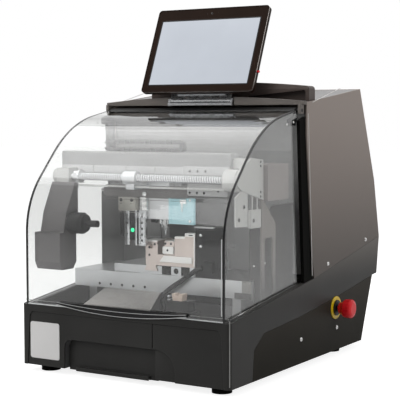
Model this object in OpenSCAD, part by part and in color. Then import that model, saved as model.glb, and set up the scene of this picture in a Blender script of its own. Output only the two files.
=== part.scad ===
// Key duplicating machine, bench model.
// A charcoal base with a swarf drawer, a tall sloping housing behind, a smoked clear shield
// that swings up over the cutting chamber, and a tilting touch display on top.
// +Z is up and the front faces -Y. The origin is on the bench, under the middle of the machine.
// Sizes are millimetres. Heights in the modules are measured from the lower edge of the base,
// and depths from its front face; on_bench() then places the whole machine.

/* [Base] */
// Width of the base over its side panels
base_w = 500; // [470:5:540]
// Depth of the base along its lower edge
base_d = 604; // [590:2:620]
// Depth over the rear overhang
overall_d = 702; // [696:1:716]
// Height of the front rim above the lower edge
rim_front_h = 126; // [122:1:132]
// Height of the rim where the housing starts
rim_mid_h = 171; // [168:1:175]
// Height of the rim at the rear
rim_rear_h = 232; // [226:1:238]
// Thickness of the base walls
wall_t = 4; // [3:0.5:5]
// Thickness of the rim flange that the shield closes on
flange_t = 3; // [2:0.5:4]
// Radius of the upright front corners
corner_r = 8; // [5:1:12]
// Thickness of the floor pan
pan_t = 3; // [2:0.5:4]
// Height of the rubber feet
foot_h = 15; // [10:1:20]
// Diameter of a foot at the floor
foot_dia = 40; // [30:2:50]

/* [Front face] */
// Depth of the front panels behind the bezel
inset = 2; // [1:0.5:3]
// Thickness of the front panels
panel_t = 3; // [2:0.5:4]
// Height of the bezel bar above the panels
bezel_h = 14; // [10:1:18]
// Left edge of the drawer arch
arch_left = -142; // [-146:1:-136]
// Right edge of the drawer arch
arch_right = 126; // [120:1:132]
// Height of the drawer arch
arch_h = 61; // [58:1:63]
// Corner radius of the arch on the left
arch_r_left = 18; // [14:1:22]
// Corner radius of the arch on the right
arch_r_right = 42; // [36:1:46]
// Depth of the arch recess behind the base front
recess_d = 18; // [14:1:22]
// Place of the upright seam between the two front panels
seam_x = 74; // [68:1:80]
// Width of the bare name plate
plate_w = 75; // [65:1:80]
// Height of the bare name plate
plate_h = 76; // [66:1:80]

/* [Drawer] */
// Inside depth of the swarf drawer
drawer_d = 290; // [240:5:300]
// Height of the drawer box
drawer_h = 46; // [38:1:48]
// Wall thickness of the drawer box
drawer_t = 2; // [1.5:0.5:3]
// Clearance all round the drawer front
drawer_gap = 1.5; // [1:0.5:2.5]

/* [Housing] */
// Thickness of the housing panels
skin_t = 3; // [2:0.5:4]
// Height of the housing at its front
house_front_h = 543; // [536:1:550]
// Rise of the housing roof from front to rear
roof_rise = 32; // [25:1:39]
// Depth at which the housing roof ends
roof_d = 587; // [570:1:600]
// Height of the bend in the rear panel
rear_bend_h = 366; // [350:1:380]
// Height of the raised hood above the roof line
hood_h = 34; // [26:1:38]
// Rise of the hood and of the front trim in the middle
crown = 12; // [8:1:16]
// Depth of the hood
hood_d = 28; // [24:1:40]
// Corner radius of the hood's right end
hood_corner = 8; // [5:1:10]
// Width of the black seal strips
seal_w = 30; // [24:1:33]

/* [Shield] */
// Thickness of the clear sheet
sheet_t = 4; // [3:0.5:5]
// Distance of the shield sides from the base sides
shield_in = 12; // [10:1:14]
// Radius of the lower bend
bend_low_r = 167.5; // [150:1:180]
// Radius of the upper bend
bend_top_r = 262; // [240:1:280]
// Slope of the straight middle part
mid_slope = 47; // [44:0.5:50]
// Slope of the shield roof
top_slope = 10.6; // [9:0.2:12]
// Length of the straight middle part
mid_len = 67.4; // [50:1:80]
// Drop from the housing's front edge to the start of the lower bend
bend_drop = 269.2; // [260:1:280]
// Depth of the shield hinge axis behind the base front
hinge_y = 304; // [302:0.5:306]
// Width of the grip tab below the shield
grip_w = 315; // [260:5:340]
// Drop of the grip tab
grip_drop = 14; // [10:1:16]
// Forward reach of the grip tab
grip_reach = 5; // [4:0.5:8]

/* [Display] */
// Width of the display
tab_w = 281; // [260:1:300]
// Height of the display
tab_h = 200.5; // [185:1:210]
// Thickness of the display case
tab_t = 20; // [16:1:24]
// Corner radius of the display
tab_r = 8; // [5:1:12]
// Width of the lit area
lit_w = 247; // [230:1:252]
// Height of the lit area
lit_h = 153; // [140:1:160]
// Height of the side button above the tilt axis, along the display
button_up = 55; // [45:1:65]
// Lean of the display
tab_lean = 23.1; // [15:0.1:30]
// Depth of the tilt axis
tilt_y = 306; // [304:0.5:308]
// Width of the silver hinge
tilt_w = 162; // [140:2:180]

/* [Stop button] */
// Depth of the stop button behind the base front
stop_y = 464; // [440:1:490]
// Height of the stop button
stop_z = 94.6; // [88:1:96]
// Diameter of the red head
stop_head_dia = 40; // [34:1:44]
// Diameter of the yellow ring
stop_ring_dia = 60; // [54:1:64]
// Reach of the red head beyond the side panel
stop_reach = 43; // [38:1:48]
// Stroke of the stop button
stop_stroke = 4; // [3:0.5:5]

/* [Gantry] */
// Length of the gantry beam
beam_len = 416; // [400:2:424]
// Height of the lower edge of the beam cover
beam_z = 410; // [408:0.5:412]
// Height of the beam cover
beam_h = 30; // [26:1:34]
// Depth of the gantry plate behind the base front
beam_y = 118; // [117:0.5:121]
// Thickness of the gantry plate
beam_t = 7; // [6:0.5:8]
// Height of the ball screw axis
screw_z = 388; // [386:0.5:389]
// Depth of the ball screw axis
screw_y = 100; // [97:0.5:102]
// Diameter of the ball screw
screw_dia = 16; // [12:0.5:17]

/* [Cutting head] */
// Middle of the head at rest
head_x = -40; // [-44:1:-36]
// Place of the cutter beside the middle plane
cutter_x = -18; // [-20:1:-16]
// Depth of the cutter axis
cutter_y = 195; // [193:1:197]
// Height of the cutter tip at rest
cutter_tip = 266; // [264:1:270]
// Diameter of the cutter shank
cutter_dia = 6; // [4:0.5:8]
// Distance from the cutter to the tracer
tracer_pitch = 20; // [19:0.5:22]

/* [Clamp] */
// Depth of the clamp front face
clamp_y = 165; // [164:0.5:167]
// Depth of the clamp body from front to back
clamp_len = 60; // [50:1:64]
// Height of the clamp base plate underside
clamp_z = 203; // [202:0.5:204]
// Height of the clamp jaws
jaw_h = 33; // [30:0.5:34]
// Opening between the jaws at rest
jaw_gap = 15; // [12:0.5:15]
// Height of the machine table
table_z = 184; // [182:0.5:185]

/* [Hidden] */
$fn = 48;
// Seat clearance between pieces
gap = 0.3;
half_w = base_w/2;
in_w = half_w - wall_t;
rim_mid_y = 356;
rim_rear_y = overall_d;
notch_out = [overall_d - 13, 147];
notch_in = [overall_d - 38, 144.5];
panel_top = rim_front_h - bezel_h;
shield_x = half_w - shield_in;
house_rear_h = house_front_h + roof_rise;
hinge_z = house_front_h - 17;
bend_start_h = house_front_h - bend_drop;
house_y = 318;
tilt_z = house_front_h + 5;
hood_y = 340;
hood_l = -150;
hood_r = half_w - 6;
shift_x = stop_reach/2;
shift_y = (overall_d - grip_reach)/2;

// Node to show, or "all"

// Places the machine with its feet on the bench and the origin under its middle
module on_bench() {
    translate([-shift_x, -shift_y, foot_h])
        children();
}

// A block between two corners
module blk(x0, x1, y0, y1, z0, z1) {
    translate([x0, y0, z0])
        cube([x1 - x0, y1 - y0, z1 - z0]);
}

// A side outline, drawn as depth and height, carried across the width from x0 to x1
module across(x0, x1) {
    translate([x0, 0, 0])
        rotate([90, 0, 90])
            linear_extrude(x1 - x0)
                children();
}

// A front outline, drawn as width and height, carried back from y0 to y1
module deep(y0, y1) {
    translate([0, y1, 0])
        rotate([90, 0, 0])
            linear_extrude(y1 - y0)
                children();
}

// A plan outline carried up from z0 to z1
module upright(z0, z1) {
    translate([0, 0, z0])
        linear_extrude(z1 - z0)
            children();
}

// A rectangle with round corners, from x0, y0 to x1, y1
module soft_rect(x0, x1, y0, y1, r) {
    translate([x0 + r, y0])
        square([x1 - x0 - 2*r, y1 - y0]);
    translate([x0, y0 + r])
        square([x1 - x0, y1 - y0 - 2*r]);
    for (x = [x0 + r, x1 - r], y = [y0 + r, y1 - r])
        translate([x, y])
            circle(r);
}

// A round bar along X, Y or Z
module bar_x(x0, x1, y, z, r) {
    translate([x0, y, z])
        rotate([0, 90, 0])
            cylinder(h = x1 - x0, r = r);
}

module bar_y(y0, y1, x, z, r) {
    translate([x, y1, z])
        rotate([90, 0, 0])
            cylinder(h = y1 - y0, r = r);
}

module bar_z(z0, z1, x, y, r) {
    translate([x, y, z0])
        cylinder(h = z1 - z0, r = r);
}

// Height of the base rim at depth y, in front of the housing
function rim_z(y) = rim_front_h + (rim_mid_h - rim_front_h)*y/rim_mid_y;

// The edge where the side panels meet the base shell
seam_line = [[86, -1], [93, 62], [105, 70], [134, 89], [291, 99.5], [473, 119], notch_in];

// Slope of the housing roof
roof_slope = (house_rear_h - house_front_h)/(roof_d - house_y);

// Places of the power inlet and the fan on the rear panel
inlet_x = -150;
inlet_z = 290;
fan_x = 60;
fan_z = 300;

// Places inside the machine that several pieces share
hinge_block_w = 6.5;
sheet_end_y = 290;
bend_steps = 14;
barrel_r = 4.2;
ear_t = 5;
tab_face = -29.9;
tab_mid = 108.4;
window_l = -105;
window_r = 60;
window_lo = 226;
window_hi = 400;
window_back = 420;
wall_top = house_front_h - 13;
beam_l = -232;
beam_r = beam_l + beam_len;
left_block_r = -189;
right_bearing_l = 187;
rod_z = screw_z - 19;
chain_z = beam_z + beam_h;
chain_h = 24;
table_l = -232;
table_r = 204;
table_y = 160;
table_screw_x = 25;
table_screw_z = 193;
table_screw_r = 6;
probe_x = 74;
fixed_jaw_r = -19;
block_l = 23;
clamp_screw_y = 205;
clamp_screw_z = 240;
rocker_w = 19;
rocker_z = 13;
rocker_tilt = 6;
stop_head_x = half_w + 10.5;
stop_stem_r = 6;

// Plan of the base, brought in by d all round, with round front corners
module base_plan(d) {
    soft_rect(d - half_w, half_w - d, d, overall_d + 20, max(1, corner_r - d));
}

// Side outline of the base, lowered by d along the rim and brought in by d at the rear
module base_side(d) {
    polygon([[0, -1], [0, rim_front_h - d], [rim_mid_y, rim_mid_h - d], [rim_rear_y - d, rim_rear_h - d],
        [notch_out[0] - d, notch_out[1] + d], [notch_in[0] - d, notch_in[1] + d], [base_d - d, -1]]);
}

// Opening in the base front that frames the two panels, brought in by d
module front_opening(d) {
    polygon([[13 - half_w + d, -2], [20 - half_w + d, panel_top - 8], [26 - half_w + d, panel_top - d],
        [half_w - 26 - d, panel_top - d], [half_w - 20 - d, panel_top - 8], [half_w - 13 - d, -2]]);
}

// Drawer arch, let out by d
module arch(d) {
    translate([arch_left - d, -10])
        square([arch_right - arch_left + 2*d, arch_h + 10 - arch_r_right]);
    translate([arch_left + arch_r_left, 0])
        square([arch_right - arch_left - arch_r_left - arch_r_right, arch_h + d]);
    translate([arch_left - d, 0])
        square([arch_r_left + d, arch_h - arch_r_left]);
    translate([arch_left + arch_r_left, arch_h - arch_r_left])
        circle(arch_r_left + d);
    translate([arch_right - arch_r_right, arch_h - arch_r_right])
        circle(arch_r_right + d);
}

// Painted shell of the base: front bezel, upper side bands, rear band and rim flange
module base_shell() {
    color("#2b2b2d") on_bench()
        difference() {
            intersection() {
                across(-half_w, half_w)
                    base_side(0);
                upright(0, rim_rear_h + 20)
                    base_plan(0);
            }
            // hollow under the rim flange
            intersection() {
                across(-in_w, in_w)
                    base_side(flange_t);
                upright(-2, rim_rear_h + 20)
                    base_plan(wall_t);
            }
            // chamber and housing opening inside the flange
            upright(rim_front_h - 20, rim_rear_h + 20)
                soft_rect(24 - half_w, half_w - 24, 16, overall_d - 40, 12);
            // framed opening for the front panels
            deep(-1, wall_t + 1)
                front_opening(0);
            // lower side bands, closed by the side panels
            for (x = [-half_w - 1, in_w - 1])
                across(x, x + wall_t + 2)
                    polygon(concat(seam_line, [[base_d + 2, -1], [base_d, -2], [86, -2]]));
        }
}

// Flat pan that closes the base from below
module floor_pan() {
    color("#3a3a3c") on_bench()
        difference() {
            blk(gap - in_w, in_w - gap, wall_t + recess_d + 6, base_d - 4, 0, pan_t);
            // ventilation slots under the electronics
            for (i = [0:6])
                upright(-1, pan_t + 1)
                    soft_rect(-70, 70, 400 + 18*i, 406 + 18*i, 2.9);
        }
}

// Lower side panel, seen from the right
module side_plate() {
    difference() {
        across(in_w, half_w)
            polygon([[86.6, 0], [93.6, 61.6], [105, 69.4], [134, 88.4], [291, 98.9], [473, 118.4],
                [notch_in[0] - 1, notch_in[1] - 0.8], [base_d - 0.6, 0]]);
        // hole for the stop button
        bar_x(in_w - 1, half_w + 1, stop_y, stop_z, 8.5);
    }
}

module side_plate_right() {
    color("#35302c") on_bench()
        side_plate();
}

module side_plate_left() {
    color("#35302c") on_bench()
        across(-half_w, -in_w)
            polygon([[86.6, 0], [93.6, 61.6], [105, 69.4], [134, 88.4], [291, 98.9], [473, 118.4],
                [notch_in[0] - 1, notch_in[1] - 0.8], [base_d - 0.6, 0]]);
}

// One front panel between two places across the width
module front_panel(x0, x1) {
    deep(inset, inset + panel_t)
        difference() {
            intersection() {
                front_opening(gap);
                translate([x0, 0])
                    square([x1 - x0, panel_top]);
            }
            arch(0);
        }
}

module front_panel_left() {
    color("#2a2a2c") on_bench()
        front_panel(-half_w, seam_x - 1);
}

module front_panel_right() {
    color("#2a2a2c") on_bench()
        front_panel(seam_x + 1, half_w);
}

// Sheet lining of the arch, with the fixed plate beside the drawer
module recess_liner() {
    color("#1c1c1e") on_bench()
        union() {
            deep(inset + panel_t, recess_d + wall_t)
                intersection() {
                    difference() {
                        arch(2);
                        arch(0);
                    }
                    translate([-half_w, 0])
                        square([base_w, rim_front_h]);
                }
            deep(recess_d, recess_d + 2)
                intersection() {
                    arch(1);
                    translate([seam_x + 5, 0])
                        square([arch_right - seam_x, arch_h]);
                }
        }
}

// Bare plate beside the drawer
module name_plate() {
    color("#e9e7e4") on_bench()
        deep(inset - 1.2, inset)
            soft_rect(21 - half_w, 21 - half_w + plate_w, 15, 15 + plate_h, 5);
}

// Four rubber feet, flat at the floor
module rubber_feet() {
    color("#151515") on_bench()
        for (x = [-half_w + 42, half_w - 42], y = [42, 528]) {
            bar_z(-foot_h, 0, x, y, foot_dia/2);
        }
}

// Dark floor of the cutting chamber, with the swarf opening and a small calibration block
module chamber_tray() {
    color("#232325") on_bench()
        union() {
            difference() {
                intersection() {
                    blk(gap - in_w, in_w - gap, max(wall_t, inset + panel_t) + gap, 348, 96, 98);
                    upright(95, 99)
                        base_plan(wall_t + gap);
                }
                // swarf falls through here into the drawer
                upright(95, 99)
                    soft_rect(-120, 70, 40, 150, 6);
            }
            // calibration block on its pedestal
            blk(46, 114, 78, 116, 98, 124);
            blk(54, 106, 84, 112, 124, 146);
        }
}

// Sloping sheet that leads the swarf forward into the opening
module chip_chute() {
    color("#8d8f92") on_bench()
        difference() {
            across(-146, 28)
                polygon([[60, 118], [150, 148], [158, 148], [158, 98], [156, 98], [156, 146], [150.3, 146],
                    [60.6, 116]]);
            // corner cut back beside the calibration block
            upright(97, 150)
                polygon([[29, 50], [-6, 158.5], [29, 158.5]]);
        }
}

// Side outline of a housing panel
module house_side(x0, x1) {
    across(x0, x1)
        polygon([[rim_mid_y + 1, rim_mid_h + 0.5], [344.5, 233], [house_y, house_front_h - 65],
            [house_y, house_front_h], [roof_d, house_rear_h], [overall_d - 31, rear_bend_h], [overall_d, rim_rear_h + 0.5]]);
}

module housing_side_right() {
    color("#4a423c") on_bench()
        house_side(half_w - skin_t, half_w);
}

module housing_side_left() {
    color("#4a423c") on_bench()
        house_side(-half_w, skin_t - half_w);
}

// A point on the rear panel, at height z on its lower sloping part
function rear_y(z) = overall_d - 31*(z - rim_rear_h)/(rear_bend_h - rim_rear_h);

// Bent rear panel with the openings for the inlet and the fan
module housing_back_panel() {
    color("#3c3733") on_bench()
        difference() {
            across(skin_t - half_w, half_w - skin_t)
                polygon([[roof_d, house_rear_h], [overall_d - 31, rear_bend_h],
                    [overall_d, rim_rear_h + 0.5], [overall_d - skin_t, rim_rear_h + 0.5],
                    [overall_d - 31 - skin_t, rear_bend_h - 1], [roof_d - skin_t, house_rear_h - skin_t]]);
            // opening for the power inlet
            blk(inlet_x - 24, inlet_x + 24, overall_d - 40, overall_d + 5, inlet_z - 29, inlet_z + 29);
            // round opening for the fan
            bar_y(overall_d - 50, overall_d + 5, fan_x, fan_z, 38);
            // louvres in the upper part
            for (i = [0:7])
                blk(-90, 90, roof_d - 20, overall_d, 410 + 14*i, 414 + 14*i);
        }
}

// Sheet roof of the housing
module housing_top_cover() {
    color("#2d2c2b") on_bench()
        across(skin_t - half_w, half_w - skin_t)
            polygon([[hood_y - 8, house_front_h - 1 + roof_slope*(hood_y - 8 - house_y)],
                [roof_d - skin_t - 1, house_rear_h - 1.2], [roof_d - skin_t - 1, house_rear_h - 1.2 - skin_t],
                [hood_y - 8, house_front_h - 1 + roof_slope*(hood_y - 8 - house_y) - skin_t]]);
}

// Front outline of a crowned strip between two heights, rising by crown in the middle
module crowned(w, z0, z1) {
    crown_r = (w*w/4 + crown*crown)/(2*crown);
    intersection() {
        translate([-w/2, z0])
            square([w, z1 + crown - z0 + 1]);
        translate([0, z1 + crown - crown_r])
            circle(crown_r, $fn = 1440);
    }
}

// Height of the hood's crowned top at x
function hood_top(x) = let (w = 2*half_w - 12, r = (w*w/4 + crown*crown)/(2*crown))
    house_front_h + hood_h + crown - r + sqrt(r*r - x*x);

// Crowned cowl over the cable duct behind the display, scooped out below its right end
module top_hood() {
    corner_x = hood_r - hood_corner;
    corner_z = hood_top(corner_x) - hood_corner;
    color("#222223") on_bench()
        difference() {
            intersection() {
                deep(hood_y, hood_y + hood_d)
                    intersection() {
                        crowned(2*half_w - 12, house_front_h, house_front_h + hood_h);
                        polygon(concat([[hood_l, house_front_h - 5], [hood_l, house_front_h + 100],
                            [corner_x, house_front_h + 100]],
                            [for (a = [90:-15:0]) [corner_x + hood_corner*cos(a), corner_z + hood_corner*sin(a)]],
                            [[hood_r, house_front_h - 5]]));
                    }
                across(-half_w, half_w)
                    polygon([[hood_y, house_front_h - 0.6 + roof_slope*(hood_y - house_y)],
                        [hood_y, house_front_h + hood_h - 5], [hood_y + 12, house_front_h + hood_h + 23],
                        [hood_y + hood_d, house_front_h + hood_h + 23],
                        [hood_y + hood_d, house_front_h - 0.6 + roof_slope*(hood_y + hood_d - house_y)]]);
            }
            // dark scoop under the front lip
            deep(hood_y - 1, hood_y + hood_d - 8)
                polygon([[100, house_front_h - 6], [100, house_front_h + 14], [hood_r - 12, house_front_h + 26],
                    [hood_r - 8, house_front_h + 22], [hood_r - 8, house_front_h - 6]]);
        }
}

// Crowned trim over the shield hinge, with a hinge block at each end
module front_trim() {
    color("#1d1d1f") on_bench()
        difference() {
            union() {
                deep(house_y - 12, hood_y - 9)
                    crowned(2*half_w, house_front_h - 5, house_front_h + 2);
                for (x = [-half_w + skin_t + 1, half_w - skin_t - 1 - hinge_block_w])
                    blk(x, x + hinge_block_w, hinge_y - 7, house_y - 5, hinge_z - 7, house_front_h - 3);
            }
            // clearance for the housing side panels
            for (x = [-half_w - 1, half_w - skin_t - gap])
                blk(x, x + skin_t + 1 + gap, house_y - gap, hood_y, house_front_h - 13, house_front_h + 17);
            // notch for the display hinge, with room behind it for the bracket as it leans back
            blk(-tilt_w/2 - 2, tilt_w/2 + 2, house_y - 28, house_y - 6, house_front_h - 13,
                house_front_h + 27);
            blk(-tilt_w/2 - 2, tilt_w/2 + 2, house_y - 7, house_y + 2, tilt_z + 2, house_front_h + 27);
            // bores of the shield hinge
            bar_x(-half_w, half_w, hinge_y, hinge_z, 4.05);
        }
}

// Saddle and ears that carry the display hinge
module tablet_mount() {
    color("#c9cbcd") on_bench()
        union() {
            blk(-tilt_w/2, tilt_w/2, tilt_y - 7, house_y - 6 - gap, house_front_h - 5,
                tilt_z - barrel_r - 0.4);
            for (x = [-tilt_w/2, tilt_w/2 - ear_t]) {
                bar_x(x, x + ear_t, tilt_y, tilt_z, barrel_r);
                blk(x, x + ear_t, tilt_y - barrel_r, tilt_y + barrel_r, house_front_h - 6, tilt_z);
            }
            bar_x(-tilt_w/2, tilt_w/2, tilt_y, tilt_z, 1.8);
        }
}

// Rubber strip between the shield and the housing
module seal_strip(x0, x1) {
    across(x0, x1)
        polygon([[346 - seal_w, rim_z(346 - seal_w) + gap], [321.4 - seal_w, house_front_h - 38],
            [house_y - 2, house_front_h - 31], [house_y + 3, house_front_h - 65], [348.5, 233],
            [rim_mid_y, rim_z(rim_mid_y) + gap]]);
}

module seal_strip_right() {
    color("#141414") on_bench()
        seal_strip(shield_x + 1.5, half_w - skin_t - gap);
}

module seal_strip_left() {
    color("#141414") on_bench()
        seal_strip(skin_t + gap - half_w, -shield_x - 1.5);
}

// Front face of the chamber wall at height z
function wall_y(z) = 349 - (z - 173)*19/305;

// Rear wall of the cutting chamber, with a window and the lit recess behind it
module chamber_back_wall() {
    color("#5b5a59") on_bench()
        difference() {
            union() {
                across(-shield_x - 1.2, shield_x + 1.2)
                    polygon([[wall_y(173), 173], [wall_y(wall_top), wall_top],
                        [wall_y(wall_top) + 2, wall_top], [wall_y(173) + 2, 173]]);
                // raised panels on both sides of the window
                for (x = [-210, 92])
                    across(x, x + 84)
                        polygon([[wall_y(215) - 5, 215], [wall_y(380) - 5, 380], [wall_y(380) + 1, 380],
                            [wall_y(215) + 1, 215]]);
                // recess box behind the window
                blk(window_l - 2, window_r + 2, wall_y(300), window_back + 2, window_lo - 2, window_hi + 2);
            }
            blk(window_l, window_r, 300, window_back, window_lo, window_hi);
            // what the straight recess box would leave in front of the wall
            across(window_l - 3, window_r + 3)
                polygon([[wall_y(window_lo - 3) - 20, window_lo - 3],
                    [wall_y(window_hi + 3) - 20, window_hi + 3],
                    [wall_y(window_hi + 3), window_hi + 3], [wall_y(window_lo - 3), window_lo - 3]]);
        }
}

// Zinc screws on the side panels
module body_screws() {
    color("#d8d8d6") on_bench()
        for (p = [[295, 51], [470, 50], [423, 196], [623, 231], [600, 470], [350, 500]])
            for (side = [0, 1])
                mirror([side, 0, 0])
                    difference() {
                        bar_x(half_w, half_w + 1.6, p[0], p[1], 4.5);
                        bar_x(half_w + 0.6, half_w + 2, p[0], p[1], 2);
                    }
}

// Yellow ring and black neck of the stop button
module estop_collar() {
    color("#f2c500") on_bench()
        difference() {
            union() {
                bar_x(half_w, half_w + 2.4, stop_y, stop_z, stop_ring_dia/2);
                bar_x(half_w + 2, half_w + 6, stop_y, stop_z, 14);
            }
            bar_x(half_w - 1, half_w + 7, stop_y, stop_z, stop_stem_r + 0.05);
        }
}

// White cover and drilled plate of the gantry, with the arm that carries its left end
module gantry_beam() {
    color("#eceded") on_bench()
        union() {
            across(beam_l, beam_r)
                soft_rect(beam_y, beam_y + 28, beam_z, beam_z + beam_h, 4);
            deep(beam_y, beam_y + beam_t)
                difference() {
                    union() {
                        translate([beam_l, screw_z - 4])
                            square([beam_r - beam_l, beam_z + 6 - screw_z + 4]);
                        translate([99, 355])
                            square([beam_r - 99, 40]);
                        translate([85, 369])
                            square([20, 20]);
                        translate([99, 369])
                            circle(14);
                    }
                    for (i = [0:6])
                        translate([-150 + 48*i, 402])
                            circle(3.5);
                    for (i = [0:3])
                        translate([104 + 22*i, 369])
                            circle(4);
                }
            // arm that runs back from the left end to the chamber wall
            across(beam_l, beam_l + 10)
                polygon([[beam_y + 27, 380], [beam_y + 27, beam_z + 20],
                    [wall_y(beam_z + 20) - gap, beam_z + 20], [wall_y(380) - gap, 380]]);
        }
}

// Right end of the gantry: bearing housing, end plate and the block behind the beam
module gantry_end_right() {
    color("#f1f1ef") on_bench()
        difference() {
            union() {
                bar_x(right_bearing_l, right_bearing_l + 28, screw_y, screw_z, 22);
                across(right_bearing_l + 28, right_bearing_l + 32)
                    polygon([[beam_y + 16, 433], [182, 428], [184, 347.5], [97, 369], [80, 380], [80, 396],
                        [97, 410]]);
                // adjusting blocks below the end plate
                across(right_bearing_l + 28, right_bearing_l + 31)
                    polygon([[73, 301], [120, 298], [120, 364], [97, 370], [73, 358]]);
                across(right_bearing_l + 26, right_bearing_l + 33)
                    soft_rect(131, 171, 294, 330, 1.5);
                for (y = [141, 161])
                    bar_z(329, 362, right_bearing_l + 29.5, y, 1.4);
                blk(beam_r, right_bearing_l + 29, beam_y + 8, beam_y + 28, beam_z, beam_z + 20);
            }
            bar_x(right_bearing_l - 1, right_bearing_l + 17, screw_y, screw_z, screw_dia/2 + 0.05);
        }
}

// Left end of the gantry: bearing block, cap and the guide rod under the screw
module gantry_end_left() {
    color("#e6e7e8") on_bench()
        difference() {
            union() {
                blk(left_block_r - 31, left_block_r, screw_y - 16, beam_y - 0.02, rod_z - 7, screw_z + 17);
                bar_x(beam_l, left_block_r - 31, screw_y, screw_z, 15);
                bar_x(left_block_r - 1, right_bearing_l, screw_y, rod_z, 2);
            }
            bar_x(left_block_r - 32, left_block_r + 1, screw_y, screw_z, screw_dia/2 + 0.05);
            bar_y(screw_y - 17, screw_y - 8.5, left_block_r - 15, rod_z + 2, 4);
        }
}

// Motor box at the right end of the gantry
module screw_motor() {
    color("#8a8580") on_bench()
        union() {
            across(right_bearing_l, right_bearing_l + 41)
                soft_rect(184 + gap, 275, 345, 418, 3);
            bar_y(275, 287, right_bearing_l + 20, 381, 14);
        }
}

// Guide rail behind the gantry plate
module x_rail() {
    color("#b9bcc0") on_bench()
        across(beam_l + 8, beam_r - 4)
            polygon([[beam_y + beam_t, 391], [beam_y + beam_t + 8, 391], [beam_y + beam_t + 8, 395],
                [beam_y + beam_t + 6, 397], [beam_y + beam_t + 8, 399], [beam_y + beam_t + 8, 403],
                [beam_y + beam_t, 403]]);
}

// Cable chain lying on the beam
module cable_chain() {
    color("#1b1b1c") on_bench()
        difference() {
            deep(beam_y + 12, beam_y + 27)
                difference() {
                    soft_rect(-130, 66, chain_z, chain_z + chain_h, chain_h/2 - 0.5);
                    soft_rect(-150, 58, chain_z + 8, chain_z + chain_h - 8, chain_h/2 - 8.5);
                }
            // gaps between the links
            for (i = [0:12])
                blk(-118 + 13*i, -116.4 + 13*i, beam_y, beam_y + 15, chain_z - 1, chain_z + chain_h + 1);
        }
}

// Aluminium table: drilled front plate, deck, dovetail way, rail and screw bearings
module machine_table() {
    color("#c4c6c8") on_bench()
        difference() {
            union() {
                blk(table_l, table_r, table_y, table_y + 8, rim_z(table_y + 8) + gap, table_z);
                blk(table_l, table_r, table_y + 8, 320, table_z - 10, table_z);
                // legs down to the chamber floor
                for (x = [table_l + 30, table_r - 50])
                    blk(x, x + 20, table_y + 12, 318, 98, table_z - 5);
                // dovetail way
                blk(-132, -11, table_y + 8, 300, table_z - 1, clamp_z - 2);
                // right rail
                blk(58, 70, table_y + 8, 300, table_z - 1, clamp_z - gap);
                // bearings of the table screw
                blk(table_screw_x - 12, table_screw_x + 12, table_y + 7, table_y + 12, table_z - 1,
                    clamp_z - 1);
                blk(table_screw_x - 14, table_screw_x + 14, 300, 316, table_z - 1, clamp_z + 2);
            }
            // groove of the dovetail way
            deep(table_y, 310)
                polygon([[-52.4, clamp_z - 12.4], [-19.6, clamp_z - 12.4], [-23.6, clamp_z - 2.2],
                    [-23.6, clamp_z + 5], [-48.4, clamp_z + 5], [-48.4, clamp_z - 2.2]]);
            bar_y(table_y, 317, table_screw_x, table_screw_z, table_screw_r + 0.05);
            // tapped holes in the front plate
            for (i = [0:4])
                bar_y(table_y - 1, table_y + 7, -166 + 29.3*i, 155.5, 3);
        }
}

// Upright panel that carries the right end of the gantry
module side_pillar() {
    color("#3a3a3a") on_bench()
        difference() {
            across(right_bearing_l + 28, right_bearing_l + 32)
                polygon([[176, 349.4 - gap], [184, 347.4 - gap], [235, 297], [235, 98], [176, 98]]);
            // cable opening
            across(right_bearing_l + 27, right_bearing_l + 33)
                soft_rect(188, 223, 150, 270, 8);
        }
}

// Fixed black plate beside the clamp, with a grey sensor box on its front
module probe_plate() {
    color("#1f1f20") on_bench()
        difference() {
            union() {
                deep(clamp_y, clamp_y + 4)
                    soft_rect(probe_x, probe_x + 69, table_z, table_z + 104, 2);
                blk(probe_x + 24, probe_x + 46, clamp_y - 12, clamp_y + 1, table_z + 12, table_z + 34);
            }
            for (z = [table_z + 64, table_z + 87])
                bar_y(clamp_y - 1, clamp_y + 5, probe_x + 12, z, 3);
        }
}

// Lead from the chamber floor to the sensor box, swept along its route
module probe_lead() {
    route = [[6, 153, 98.5], [6, 153, 112], [3, 152, 124], [3, 150, 136], [9, 148, 147], [20, 148, 157],
        [33, 148, 166], [47, 149, 175], [60, 150, 184], [71, 152, 191.5], [81, 155, 199], [90, 156.6, 203.5],
        [probe_x + 24 - gap, 156.6, 203.5]];
    n = len(route);
    sides = 10;
    r = 3.5;
    // direction along the route at point i, and two directions square to it
    function along(i) = let (d = route[min(i + 1, n - 1)] - route[max(i - 1, 0)]) d/norm(d);
    function flat(i) = let (c = cross(along(i), [0, 1, 0])) c/norm(c);
    points = [for (i = [0:n - 1], k = [0:sides - 1])
        route[i] + r*cos(360*k/sides)*flat(i) + r*sin(360*k/sides)*cross(along(i), flat(i))];
    walls = [for (i = [0:n - 2], k = [0:sides - 1])
        [i*sides + k, (i + 1)*sides + k, (i + 1)*sides + (k + 1)%sides, i*sides + (k + 1)%sides]];
    color("#101010") on_bench()
        polyhedron(points, concat([[for (k = [0:sides - 1]) k]], walls,
            [[for (k = [sides - 1:-1:0]) (n - 1)*sides + k]]));
}

// Dark cover of the optical reader at the left of the gantry
module reader_cover() {
    color("#1d1d1e") on_bench()
        union() {
            difference() {
                across(-231, -165)
                    polygon([[30, 198], [66, 198], [77, 212], [77, 275], [22, 275], [22, 214]]);
                // pocket in the underside
                blk(-222, -174, 34, 64, 190, 206);
            }
            across(-225, -165)
                polygon([[34, 275], [77, 275], [83.7, 300], [83.7, 376], [74, 376], [44, 316]]);
        }
}

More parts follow.
